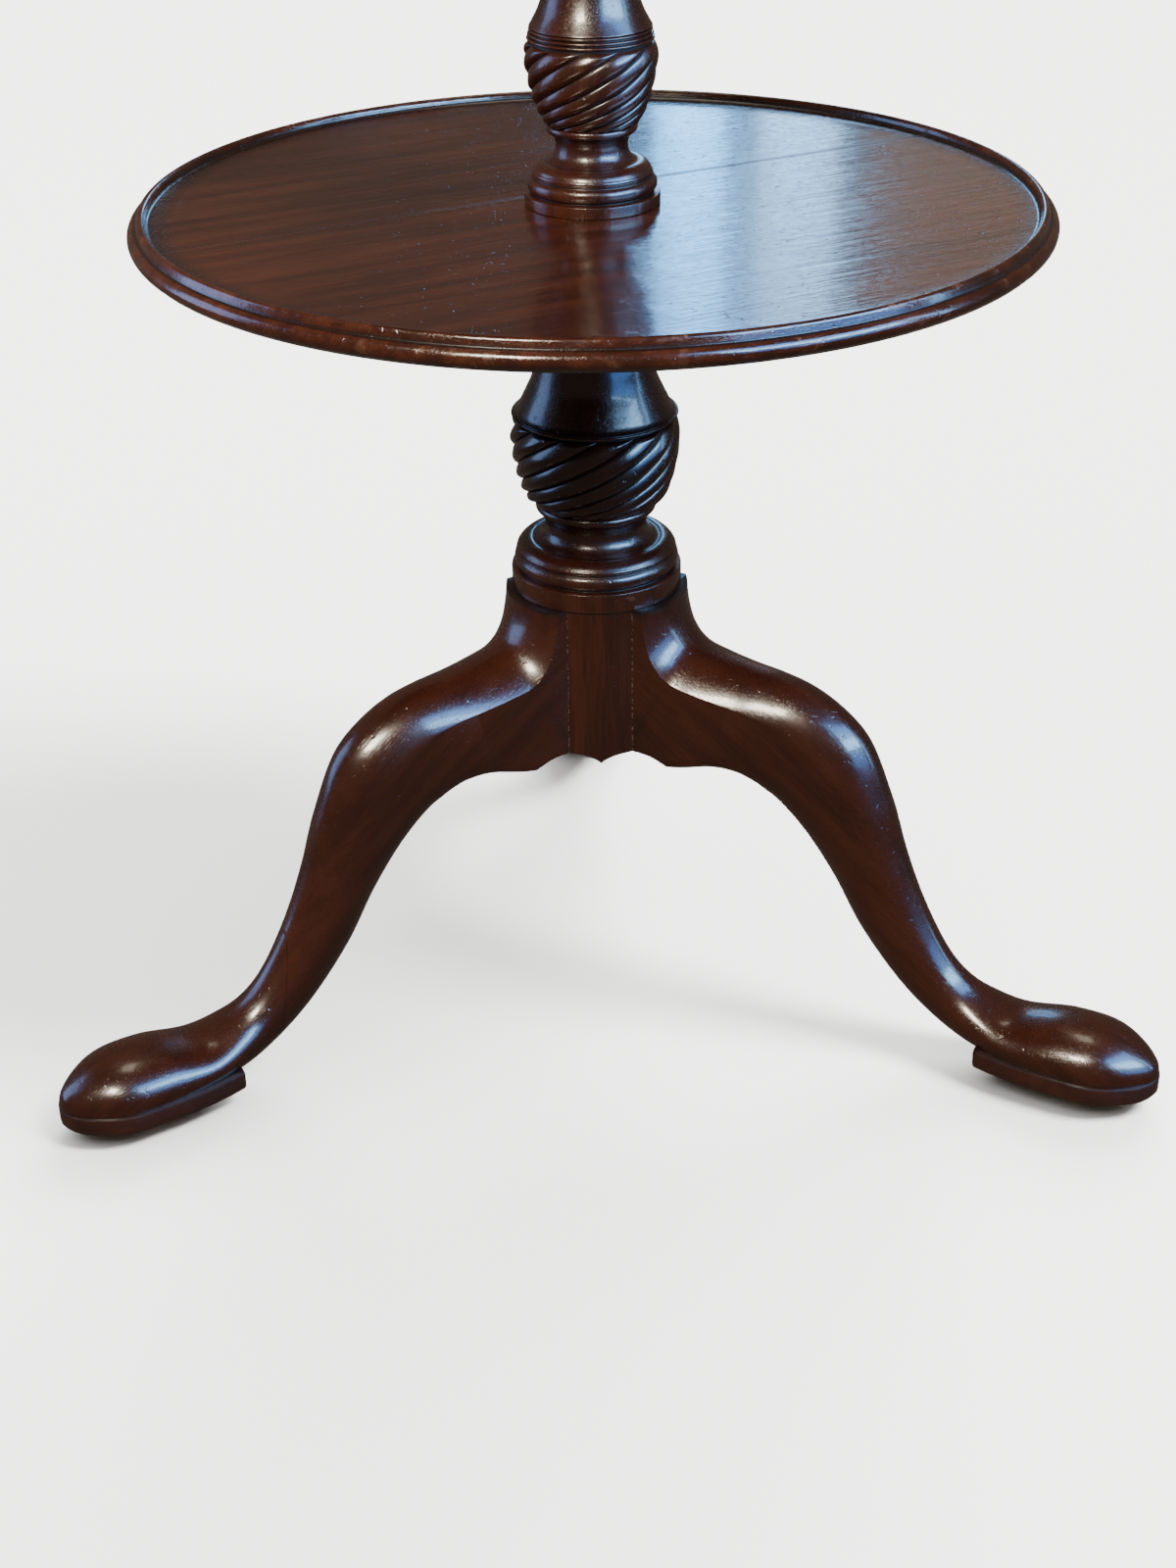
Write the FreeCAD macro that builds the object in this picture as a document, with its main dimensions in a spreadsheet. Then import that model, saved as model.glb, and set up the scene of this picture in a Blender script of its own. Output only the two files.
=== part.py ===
"""Three-tier mahogany dumbwaiter table on a tripod base with concealed castors.

Frame: millimetres, +Z up, origin on the pillar's axis at floor level. Seen from -Y, one leg goes out to
the left, one to the right and one straight back. Each tray turns on the spigot of the pillar below it.
"""
import FreeCAD, Part
import Sketcher
import math
import os

# The driving sizes, in millimetres, degrees and counts
SIZES = {
    # Castor: a small brass wheel in a horn that swivels under a plate, hidden in the foot's pad
    "wheel_radius": 9.0,
    "wheel_width": 8.0,
    "wheel_edge_round": 1.6,
    "castor_trail": 11.0,
    "axle_radius": 1.5,
    "cheek_thickness": 1.6,
    "cheek_gap": 0.4,
    "cheek_end_radius": 4.0,
    "crown_thickness": 2.2,
    "crown_radius": 6.5,
    "king_pin_radius": 2.5,
    "king_pin_head_radius": 4.0,
    "king_pin_head_thickness": 1.4,
    "castor_plate_radius": 17.0,
    "castor_plate_thickness": 2.0,
    "castor_screw_circle": 12.5,
    "castor_screw_radius": 1.5,
    "castor_screw_length": 13.0,
    "castor_screws_each": 3,
    "swivel_gap": 0.3,
    "running_clearance": 0.05,
    "left_castor_turn": 75.0,
    "right_castor_turn": -60.0,
    "rear_castor_turn": 140.0,
    # Foot pad, the shaped block under each foot
    "sole_height": 25.0,
    "pad_thickness": 13.0,
    "pad_toe_length": 57.5,
    "pad_heel_length": 59.0,
    "pad_widest_length": 3.0,
    "pad_half_width": 34.5,
    "pad_heel_half_width": 27.5,
    "pad_edge_round": 2.2,
    "castor_recess_radius": 22.5,
    "castor_reach": 349.0,
    # Cabriole leg
    "toe_setback": 1.0,
    "leg_half_width": 33.0,
    # Dovetail that slides up into the block, and the cusped lower edge that leg and block share
    "dovetail_neck_half_width": 8.0,
    "dovetail_tail_half_width": 13.0,
    "dovetail_depth": 22.0,
    "dovetail_height": 92.0,
    "dovetail_fit": 0.1,
    "cusp_radius": 34.0,
    "cusp_half_spacing": 20.5,
    "cusp_rise": 7.0,
    # Wrought iron plate under the block
    "spider_thickness": 3.0,
    "spider_hub_radius": 26.0,
    "spider_arm_half_width": 8.0,
    "spider_arm_reach": 88.0,
    "spider_screw_reach": 74.0,
    "spider_screw_radius": 2.2,
    "spider_screw_length": 26.0,
    "spider_screw_head_radius": 4.4,
    "spider_screw_head_height": 1.8,
    # Block and the lowest pillar
    "block_bottom": 184.0,
    "block_radius": 54.0,
    "block_height": 110.0,
    "lower_plinth_radius": 55.5,
    "lower_plinth_height": 13.0,
    "lower_torus_radius": 54.3,
    "lower_torus_height": 13.0,
    "lower_fillet_radius": 50.5,
    "lower_fillet_height": 4.0,
    "lower_neck_radius": 33.0,
    "lower_neck_rise": 14.0,
    "lower_ring_radius": 39.5,
    "lower_ring_rise": 12.0,
    "lower_ring_height": 6.0,
    "lower_urn_radius": 54.5,
    "lower_urn_height": 54.0,
    "lower_collar_radius": 53.0,
    "lower_collar_height": 6.0,
    "lower_shaft_radius": 28.0,
    "lower_flare_height": 62.0,
    "lower_plain_height": 17.8,
    "lower_capital_radius": 38.0,
    "lower_capital_height": 20.0,
    "lower_spigot_radius": 13.0,
    "lower_spigot_grip": 36.0,
    # Middle pillar
    "middle_plinth_radius": 41.3,
    "middle_plinth_height": 7.2,
    "middle_torus_radius": 38.9,
    "middle_torus_height": 9.5,
    "middle_fillet_radius": 35.0,
    "middle_fillet_height": 3.8,
    "middle_neck_radius": 21.8,
    "middle_neck_rise": 14.5,
    "middle_ring_radius": 28.3,
    "middle_ring_rise": 7.5,
    "middle_ring_height": 5.5,
    "middle_urn_radius": 40.2,
    "middle_urn_height": 48.5,
    "middle_collar_radius": 37.5,
    "middle_collar_height": 7.5,
    "middle_shaft_radius": 20.0,
    "middle_flare_height": 66.0,
    "middle_plain_height": 73.6,
    "middle_capital_radius": 29.0,
    "middle_capital_height": 16.0,
    "middle_spigot_radius": 11.0,
    "middle_spigot_grip": 32.0,
    # Top pillar
    "top_plinth_radius": 35.5,
    "top_plinth_height": 6.2,
    "top_torus_radius": 33.4,
    "top_torus_height": 8.2,
    "top_fillet_radius": 30.0,
    "top_fillet_height": 3.3,
    "top_neck_radius": 18.8,
    "top_neck_rise": 12.5,
    "top_ring_radius": 24.3,
    "top_ring_rise": 6.5,
    "top_ring_height": 4.8,
    "top_urn_radius": 34.5,
    "top_urn_height": 41.7,
    "top_collar_radius": 32.2,
    "top_collar_height": 6.4,
    "top_shaft_radius": 17.2,
    "top_flare_height": 57.0,
    "top_plain_height": 63.0,
    "top_capital_radius": 26.0,
    "top_capital_height": 14.0,
    "top_spigot_radius": 9.5,
    # Spiral reeds of the three urns
    "lower_reeds": 13,
    "middle_reeds": 11,
    "top_reeds": 11,
    "lower_reed_turn": 140.0,
    "middle_reed_turn": 166.0,
    "top_reed_turn": 166.0,
    "reed_depth": 3.2,
    "urn_seat": 1.0,
    # Trays
    "lower_tray_radius": 280.0,
    "middle_tray_radius": 225.0,
    "top_tray_radius": 175.0,
    "tray_floor_thickness": 12.0,
    "rim_height": 18.0,
    "rim_width": 14.0,
    "board_joint_offset": 54.0,
    "board_joint_azimuth": 26.0,
    # Bearer discs under the trays, with their screws
    "lower_bearer_radius": 78.0,
    "middle_bearer_radius": 62.0,
    "top_bearer_radius": 56.0,
    "bearer_thickness": 16.0,
    "top_bearer_thickness": 22.0,
    "bearer_edge_round": 3.0,
    "bearer_screw_circle_share": 0.74,
    "bearer_screws_each": 4,
    "bearer_screw_radius": 2.3,
    "bearer_screw_head_radius": 4.4,
    "bearer_screw_head_height": 2.6,
    "bearer_screw_bite": 8.0,
    "turn_gap": 0.2,
    "spigot_clearance": 0.06,
    "socket_end_gap": 0.8,
    "cut_overrun": 5.0,
}

# The turned parts of a pillar from its foot up to the bearer that rests on its shoulder
PILLAR_HEIGHTS = ("plinth_height", "torus_height", "fillet_height", "neck_rise", "ring_rise", "ring_height",
                  "urn_height", "collar_height", "flare_height", "plain_height", "capital_height")


def shoulder_sum(name):
    """The height of a pillar's shoulder: its foot and the turned parts one upon the other."""
    return " + ".join([f"{name}_foot_height"] + [f"{name}_{part}" for part in PILLAR_HEIGHTS])


# Sizes that follow from the driving ones
FOLLOWING_SIZES = {
    "pad_toe_reach": "castor_reach + pad_toe_length",
    "pad_heel_reach": "castor_reach - pad_heel_length",
    "pad_widest_reach": "castor_reach + pad_widest_length",
    "leg_reach": "pad_toe_reach - toe_setback",
    "leg_height": "block_bottom + block_height",
    "lower_foot_height": "leg_height",
    "lower_shoulder": shoulder_sum("lower"),
    "lower_tray_height": "lower_shoulder + turn_gap + bearer_thickness",
    "lower_tray_floor": "lower_tray_height + tray_floor_thickness",
    "middle_foot_height": "lower_tray_floor + turn_gap",
    "middle_shoulder": shoulder_sum("middle"),
    "middle_tray_height": "middle_shoulder + turn_gap + bearer_thickness",
    "middle_tray_floor": "middle_tray_height + tray_floor_thickness",
    "top_foot_height": "middle_tray_floor + turn_gap",
    "top_shoulder": shoulder_sum("top"),
    "top_tray_height": "top_shoulder + turn_gap + top_bearer_thickness",
    "top_tray_floor": "top_tray_height + tray_floor_thickness",
}

LEG_AZIMUTHS = {"left": -150.0, "right": -30.0, "rear": 90.0}

document = FreeCAD.newDocument("dumbwaiter_table")


def make_sheet():
    """Write every size to the sheet, one named cell each, and those that follow as formulas."""
    sheet = document.addObject("Spreadsheet::Sheet", "sizes")
    cells = {name: str(value) for name, value in SIZES.items()}
    cells.update({name: f"={formula}" for name, formula in FOLLOWING_SIZES.items()})
    for row, (name, content) in enumerate(cells.items(), start=1):
        sheet.set(f"A{row}", name)
        sheet.setAlias(f"B{row}", name)
        sheet.set(f"B{row}", content)
    document.recompute()
    return sheet


SHEET = make_sheet()


class Size:
    """A size that carries both its value and the expression that gives it from the sheet."""

    def __init__(self, value, text):
        self.value = float(value)
        self.text = text

    def __add__(self, other):
        other = as_size(other)
        return Size(self.value + other.value, f"({self.text} + {other.text})")

    def __sub__(self, other):
        other = as_size(other)
        return Size(self.value - other.value, f"({self.text} - {other.text})")

    def __mul__(self, other):
        other = as_size(other)
        return Size(self.value * other.value, f"({self.text} * {other.text})")

    def __truediv__(self, other):
        other = as_size(other)
        return Size(self.value / other.value, f"({self.text} / {other.text})")

    def __rmul__(self, other):
        return as_size(other) * self

    def __neg__(self):
        return Size(-self.value, f"(0 - {self.text})")


def as_size(number):
    """A plain number, such as a share, as a size."""
    if isinstance(number, Size):
        return number
    return Size(number, repr(float(number)))


def size_of(name):
    """The named size, read from the sheet."""
    return Size(SHEET.get(name), f"sizes.{name}")


def bind(thing, **sizes):
    """Tie the properties of an object to sizes of the sheet."""
    for name, size in sizes.items():
        size = as_size(size)
        setattr(thing, name, size.value)
        thing.setExpression(name, size.text)
    return thing


def place(thing, x=0, y=0, z=0, turn=0, axis=(0, 0, 1)):
    """Put an object at a point given in sizes, turned by an angle about an axis."""
    x, y, z, turn = as_size(x), as_size(y), as_size(z), as_size(turn)
    rotation = FreeCAD.Rotation(FreeCAD.Vector(*axis), turn.value)
    thing.Placement = FreeCAD.Placement(FreeCAD.Vector(x.value, y.value, z.value), rotation)
    for letter, size in (("x", x), ("y", y), ("z", z)):
        if size.value:
            thing.setExpression(f"Placement.Base.{letter}", size.text)
    return thing


# Sketches

def plane_of(body, role):
    """One of the body's own origin planes."""
    return next(plane for plane in body.Origin.OriginFeatures if plane.Role == role)


def new_sketch(body, name, plane):
    sketch = body.newObject("Sketcher::SketchObject", name)
    sketch.AttachmentSupport = [(plane_of(body, plane), "")]
    sketch.MapMode = "FlatFace"
    return sketch


def hold_point(sketch, geometry, end, x, y):
    """Tie one end of a line or arc to its two sizes."""
    for kind, size, axis in (("DistanceX", x, -2), ("DistanceY", y, -1)):
        if size.value == 0:
            sketch.addConstraint(Sketcher.Constraint("PointOnObject", geometry, end, axis))
            continue
        index = sketch.addConstraint(Sketcher.Constraint(kind, -1, 1, geometry, end, size.value))
        sketch.setExpression(f"Constraints[{index}]", size.text)


def add_stretch(sketch, start, end):
    """Add a line, or an arc where the end has a bulge. Returns the geometry and its start and end marks.

    The bulge is the arc's rise as a share of its chord, and is positive on the right of the travel.
    """
    a = FreeCAD.Vector(start[0].value, start[1].value, 0)
    b = FreeCAD.Vector(end[0].value, end[1].value, 0)
    bulge_share = end[2] if len(end) > 2 else 0
    if not bulge_share:
        return sketch.addGeometry(Part.LineSegment(a, b)), 1, 2
    middle = (a + b) * 0.5 + FreeCAD.Vector(b.y - a.y, a.x - b.x, 0) * bulge_share
    if bulge_share > 0:
        return sketch.addGeometry(Part.Arc(a, middle, b)), 1, 2
    return sketch.addGeometry(Part.Arc(b, middle, a)), 2, 1


def arc_radius(start, end):
    """The radius of the arc between two points, from its chord and bulge."""
    bulge_share = abs(end[2])
    chord_share = (0.25 + bulge_share ** 2) / (2 * bulge_share)
    across, up = end[0] - start[0], end[1] - start[1]
    chord = math.hypot(across.value, up.value)
    return Size(chord, f"sqrt({across.text}^2 + {up.text}^2)") * chord_share


def draw_outline(sketch, points):
    """Draw a closed outline of lines and arcs. A point is (x, y) or (x, y, bulge of what arrives there)."""
    points = [tuple(as_size(v) for v in point[:2]) + tuple(point[2:]) for point in points]
    stretches = []
    for index, end in enumerate(points):
        stretches.append(add_stretch(sketch, points[index - 1], end))
    for index, (geometry, first, last) in enumerate(stretches):
        point = points[index]
        following, next_first, next_last = stretches[(index + 1) % len(stretches)]
        sketch.addConstraint(Sketcher.Constraint("Coincident", geometry, last, following, next_first))
        hold_point(sketch, geometry, last, point[0], point[1])
        if len(point) > 2 and point[2]:
            radius = arc_radius(points[index - 1], point)
            held = sketch.addConstraint(Sketcher.Constraint("Radius", geometry, radius.value))
            sketch.setExpression(f"Constraints[{held}]", radius.text)


def draw_circle(sketch, x, y, radius):
    """Draw a circle held by its centre and radius."""
    x, y, radius = as_size(x), as_size(y), as_size(radius)
    circle = Part.Circle(FreeCAD.Vector(x.value, y.value, 0), FreeCAD.Vector(0, 0, 1), radius.value)
    geometry = sketch.addGeometry(circle)
    hold_point(sketch, geometry, 3, x, y)
    held = sketch.addConstraint(Sketcher.Constraint("Radius", geometry, radius.value))
    sketch.setExpression(f"Constraints[{held}]", radius.text)


# Features

def turned_body(name, points):
    """A body turned about Z from an outline of (radius, height) points."""
    body = document.addObject("PartDesign::Body", name)
    sketch = new_sketch(body, f"{name}_outline", "XZ_Plane")
    draw_outline(sketch, points)
    turning = body.newObject("PartDesign::Revolution", f"{name}_turning")
    turning.Profile = sketch
    turning.ReferenceAxis = (sketch, ["V_Axis"])
    turning.Angle = 360
    body.Tip = turning
    return body


def pocket_through(body, name, plane, draw, depth, reverse=False, both_ways=False):
    """Cut a sketched shape out of a body to a depth."""
    sketch = new_sketch(body, f"{name}_outline", plane)
    draw(sketch)
    pocket = body.newObject("PartDesign::Pocket", name)
    pocket.Profile = sketch
    pocket.Reversed = reverse
    pocket.SideType = "Symmetric" if both_ways else "One side"
    bind(pocket, Length=depth)
    body.Tip = pocket
    return pocket


def pad_body(name, plane, draw, length, both_ways=False):
    """A body made by padding a sketched shape."""
    body = document.addObject("PartDesign::Body", name)
    sketch = new_sketch(body, f"{name}_outline", plane)
    draw(sketch)
    pad = body.newObject("PartDesign::Pad", f"{name}_pad")
    pad.Profile = sketch
    pad.SideType = "Symmetric" if both_ways else "One side"
    bind(pad, Length=length)
    body.Tip = pad
    return body


def cylinder(name, radius, height, x=0, y=0, z=0):
    thing = document.addObject("Part::Cylinder", name)
    bind(thing, Radius=radius, Height=height)
    return place(thing, x, y, z)


def cone(name, bottom_radius, top_radius, height, x=0, y=0, z=0):
    thing = document.addObject("Part::Cone", name)
    bind(thing, Radius1=bottom_radius, Radius2=top_radius, Height=height)
    return place(thing, x, y, z)


def fuse(name, *things):
    joined = document.addObject("Part::MultiFuse", name)
    joined.Shapes = list(things)
    return joined


def cut(name, base, *tools):
    """Take the tools away from the base."""
    for count, tool in enumerate(tools):
        last = count == len(tools) - 1
        step = document.addObject("Part::Cut", name if last else f"{name}_cut_{count}")
        step.Base = base
        step.Tool = tool
        base = step
    return base


def group(name, things):
    """Separate solids that share one sub-part."""
    together = document.addObject("Part::Compound", name)
    together.Links = list(things)
    return together


sub_parts = {}


def keep(name, thing):
    """Name a finished sub-part."""
    thing.Label = name
    sub_parts[name] = thing
    return thing


# Pillars

# The urn's outline: height share, radius share
LOWER_URN_SHARES = [(0.0, 0.745), (0.1, 0.86), (0.28, 0.94), (0.52, 0.985), (0.78, 1.0), (1.0, 0.962)]
UPPER_URN_SHARES = [(0.0, 0.70), (0.12, 0.79), (0.35, 0.895), (0.6, 0.962), (0.85, 1.0), (1.0, 0.968)]
# How high the reeds have climbed, as a share of the urn, for each share of their turn
REED_CLIMB_SHARES = [(0.0, 0.0), (0.16, 0.1), (0.36, 0.25), (0.61, 0.5), (1.0, 1.0)]
URN_SECTIONS = 15
URN_CORE_SHARE = 0.86


def share_between(table, share):
    """Read a share table smoothly, by a curve through its points."""
    curve = Part.BSplineCurve()
    curve.interpolate([FreeCAD.Vector(across, up, 0) for across, up in table])
    low, high = curve.FirstParameter, curve.LastParameter
    for _ in range(40):
        middle = (low + high) / 2
        if curve.value(middle).x < share:
            low = middle
        else:
            high = middle
    return curve.value((low + high) / 2).y


def reeded_wire(radius, depth, reeds, height, turn_degrees):
    """One closed section of a spirally reeded urn: rounded reeds that meet in sharp grooves."""
    pitch = 2 * math.pi / reeds

    def point(steps, distance):
        angle = steps * pitch + math.radians(turn_degrees)
        return FreeCAD.Vector(distance * math.cos(angle), distance * math.sin(angle), height)

    edges = []
    for reed in range(reeds):
        crest = point(reed + 0.5, radius)
        edges.append(Part.Arc(point(reed, radius - depth), crest, point(reed + 1, radius - depth)).toShape())
    return Part.Wire(edges)


def reeded_urn(name, bottom, table):
    """The carved urn of one pillar, lofted through turned sections."""
    radius, height = size_of(f"{name}_urn_radius").value, size_of(f"{name}_urn_height").value
    reeds, turn = int(size_of(f"{name}_reeds").value), size_of(f"{name}_reed_turn").value
    depth = size_of("reed_depth").value * radius / size_of("lower_urn_radius").value
    seat = size_of("urn_seat").value
    wires = []
    for section in range(URN_SECTIONS):
        turn_share = section / (URN_SECTIONS - 1)
        share = share_between(REED_CLIMB_SHARES, turn_share)
        level = bottom.value - seat + share * (height + 2 * seat)
        wires.append(reeded_wire(radius * share_between(table, share), depth, reeds, level, turn * turn_share))
    urn = document.addObject("Part::Feature", f"{name}_urn")
    urn.Shape = Part.makeLoft(wires, True, False)
    return urn


def pillar(name, start_points, spigot_top, table):
    """A turned pillar: plinth, torus, neck, reeded urn, collar, tapered shaft, capital and spigot.

    The start points are the outline from the axis to the plinth's lower edge.
    """
    def own(part_name):
        return size_of(f"{name}_{part_name}")

    torus_bottom = own("foot_height") + own("plinth_height")
    torus_top = torus_bottom + own("torus_height")
    fillet_top = torus_top + own("fillet_height")
    neck = fillet_top + own("neck_rise")
    ring_bottom = neck + own("ring_rise")
    urn_bottom = ring_bottom + own("ring_height")
    urn_top = urn_bottom + own("urn_height")
    collar_top = urn_top + own("collar_height")
    flare_top = collar_top + own("flare_height")
    shoulder = own("shoulder")
    capital_bottom = shoulder - own("capital_height")
    quirk = (own("torus_radius") - own("fillet_radius")) * 0.35
    core = own("ring_radius") * URN_CORE_SHARE
    collar_middle = (urn_top + collar_top) * 0.5
    bead_dip = own("collar_height") * 0.18
    astragal_bottom = capital_bottom + own("capital_height") * 0.12
    astragal_top = capital_bottom + own("capital_height") * 0.32
    astragal_radius = own("shaft_radius") + own("capital_height") * 0.16
    cavetto_bottom = capital_bottom + own("capital_height") * 0.42
    abacus_bottom = shoulder - own("capital_height") * 0.25
    points = start_points + [
        (own("plinth_radius"), torus_bottom - quirk * 0.5),
        (own("torus_radius") - quirk, torus_bottom),
        (own("torus_radius") - quirk, torus_bottom + quirk * 0.5),
        (own("torus_radius") - quirk, torus_top - quirk * 0.5, 0.36),
        (own("fillet_radius"), torus_top),
        (own("fillet_radius"), fillet_top - own("fillet_height") * 0.35),
        (own("neck_radius") + (own("fillet_radius") - own("neck_radius")) * 0.42,
         fillet_top + own("neck_rise") * 0.35, 0.17),
        (own("neck_radius"), neck, -0.16),
        (own("ring_radius") - own("ring_height") * 0.5, ring_bottom, -0.12),
        (own("ring_radius") - own("ring_height") * 0.5, urn_bottom, 0.4),
        (core, urn_bottom + own("ring_height") * 0.1),
        (core, urn_top),
        (own("collar_radius") - bead_dip, urn_top),
        (own("collar_radius") - bead_dip, collar_middle, 0.3),
        (own("collar_radius") - bead_dip * 2.4, collar_top, 0.3),
        (own("shaft_radius") + (own("collar_radius") - own("shaft_radius")) * 0.34,
         collar_top + own("flare_height") * 0.34, -0.05),
        (own("shaft_radius"), flare_top, -0.09),
        (own("shaft_radius") * 0.96, capital_bottom),
        (own("shaft_radius") * 0.96, astragal_bottom),
        (astragal_radius, astragal_bottom),
        (astragal_radius, astragal_top, 0.4),
        (own("shaft_radius"), astragal_top),
        (own("shaft_radius"), cavetto_bottom),
        (own("capital_radius") * 0.94, abacus_bottom, -0.2),
        (own("capital_radius"), abacus_bottom),
        (own("capital_radius"), shoulder),
        (own("spigot_radius"), shoulder),
        (own("spigot_radius"), spigot_top),
        (0, spigot_top),
    ]
    turned = turned_body(f"{name}_turned", points)
    urn = reeded_urn(name, urn_bottom, table)
    return turned, urn


def cut_dovetail_sockets(body):
    """Three dovetail sockets, open at the block's foot, for the legs to slide up into."""
    radius = size_of("block_radius")
    depth = size_of("dovetail_depth")
    neck = size_of("dovetail_neck_half_width")
    tail = size_of("dovetail_tail_half_width")
    overrun = size_of("cut_overrun")
    slope_share = 1.0 / depth.value * (tail.value - neck.value)

    def draw(sketch):
        draw_outline(sketch, [
            (neck - overrun * slope_share, radius + overrun),
            (tail, radius - depth),
            (-tail, radius - depth),
            (overrun * slope_share - neck, radius + overrun),
        ])

    top = size_of("block_bottom") + size_of("dovetail_height")
    socket = pocket_through(body, "dovetail_socket", "XY_Plane", draw, top, reverse=True)
    sockets = body.newObject("PartDesign::PolarPattern", "dovetail_sockets")
    sockets.Originals = [socket]
    sockets.Axis = (socket.Profile[0], ["N_Axis"])
    sockets.Angle = 360
    sockets.Occurrences = len(LEG_AZIMUTHS)
    body.Tip = sockets


def cusp_cutters(name):
    """Six level cylinders that hollow the lower edge of block and legs into cusps."""
    cutters = []
    reach = size_of("leg_reach") * 0.3
    radius = size_of("cusp_radius")
    drop = size_of("block_bottom") + size_of("cusp_rise") - radius
    for count in range(len(LEG_AZIMUTHS)):
        azimuth = -90 + 120 * count
        for side in (-1, 1):
            cutter = document.addObject("Part::Cylinder", f"{name}_{count}_{side + 1}")
            bind(cutter, Radius=radius, Height=reach)
            lean = FreeCAD.Rotation(FreeCAD.Vector(0, 1, 0), 90)
            spin = FreeCAD.Rotation(FreeCAD.Vector(0, 0, 1), azimuth)
            aside = size_of("cusp_half_spacing") * side
            inner = size_of("block_radius") * 0.62
            along = math.radians(azimuth)
            x = inner * math.cos(along) - aside * math.sin(along)
            y = inner * math.sin(along) + aside * math.cos(along)
            cutter.Placement = FreeCAD.Placement(FreeCAD.Vector(x.value, y.value, drop.value), spin * lean)
            cutter.setExpression("Placement.Base.x", x.text)
            cutter.setExpression("Placement.Base.y", y.text)
            cutter.setExpression("Placement.Base.z", drop.text)
            cutters.append(cutter)
    return cutters


def make_pillar_base():
    bottom = size_of("block_bottom")
    radius = size_of("block_radius")
    ring = size_of("lower_foot_height")
    start = [
        (0, bottom),
        (radius, bottom),
        (radius, ring),
        (size_of("lower_plinth_radius"), ring),
    ]
    spigot_top = size_of("lower_tray_floor") + size_of("lower_spigot_grip")
    turned, urn = pillar("lower", start, spigot_top, LOWER_URN_SHARES)
    cut_dovetail_sockets(turned)
    joined = fuse("pillar_base_joined", turned, urn)
    screw_hole = spider_screw("block_screw_hole", size_of("spider_screw_reach") * 0)
    keep("pillar_base", cut("pillar_base_cut", joined, *cusp_cutters("block_cusp"), screw_hole))


def make_upper_pillar(node, name, lower_name, spigot_top):
    """A pillar that stands on the tray below it and grips the lower pillar's spigot."""
    bottom = size_of(f"{name}_foot_height")
    socket = size_of(f"{lower_name}_spigot_radius")
    grip = size_of(f"{lower_name}_spigot_grip") + size_of("socket_end_gap")
    socket_top = size_of(f"{lower_name}_tray_floor") + grip
    start = [
        (0, socket_top),
        (socket, socket_top),
        (socket, bottom),
        (size_of(f"{name}_plinth_radius"), bottom),
    ]
    turned, urn = pillar(name, start, spigot_top, UPPER_URN_SHARES)
    keep(node, fuse(f"{node}_joined", turned, urn))


# Trays

def tray_points(name, bore):
    """Outline of a dished tray: bullnose edge, quirk, raised bead and a cove down to the floor."""
    radius = size_of(f"{name}_tray_radius")
    bottom = size_of(f"{name}_tray_height")
    rise = size_of("rim_height")
    width = size_of("rim_width")
    floor = size_of(f"{name}_tray_floor")
    return [
        (bore, floor),
        (bore, bottom),
        (radius - width * 0.38, bottom),
        (radius - width * 0.34, bottom + rise * 0.1),
        (radius - width * 0.34, bottom + rise * 0.68, 0.44),
        (radius - width * 0.42, bottom + rise * 0.72),
        (radius - width * 0.76, bottom + rise * 0.93, 0.42),
        (radius - width * 0.8, bottom + rise * 0.86),
        (radius - width, floor, -0.2),
    ]


def bearer_screw_shapes(name, radius, thickness):
    """The countersunk screws that hold a bearer to its tray, head down."""
    screws = []
    count = int(size_of("bearer_screws_each").value)
    circle = radius * size_of("bearer_screw_circle_share")
    bottom = size_of(f"{name}_tray_height") - thickness
    length = thickness + size_of("bearer_screw_bite")
    for number in range(count):
        angle = math.radians(45 + 360 * number / count)
        x, y = circle * math.cos(angle), circle * math.sin(angle)
        label = f"{name}_bearer_screw_{number}"
        head = cone(f"{label}_head", size_of("bearer_screw_head_radius"), size_of("bearer_screw_radius"),
                    size_of("bearer_screw_head_height"), x, y, bottom)
        shank = cylinder(f"{label}_shank", size_of("bearer_screw_radius"), length, x, y, bottom)
        screws.append(fuse(label, head, shank))
    return screws


def make_bearer(name, thickness, blind):
    """The turned disc under a tray, bored for the spigot that the tray turns on."""
    radius = size_of(f"{name}_bearer_radius")
    top = size_of(f"{name}_tray_height")
    bottom = top - thickness
    bore = size_of(f"{name}_spigot_radius") + size_of("spigot_clearance")
    edge = size_of("bearer_edge_round")
    if blind:
        bore_top = top - size_of("bearer_edge_round")
        inner = [(0, top), (0, bore_top), (bore, bore_top), (bore, bottom)]
    else:
        inner = [(bore, top), (bore, bottom)]
    outer = [(radius - edge, bottom), (radius, bottom + edge, 0.2071), (radius, top)]
    return turned_body(f"{name}_bearer_turned", inner + outer)


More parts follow.
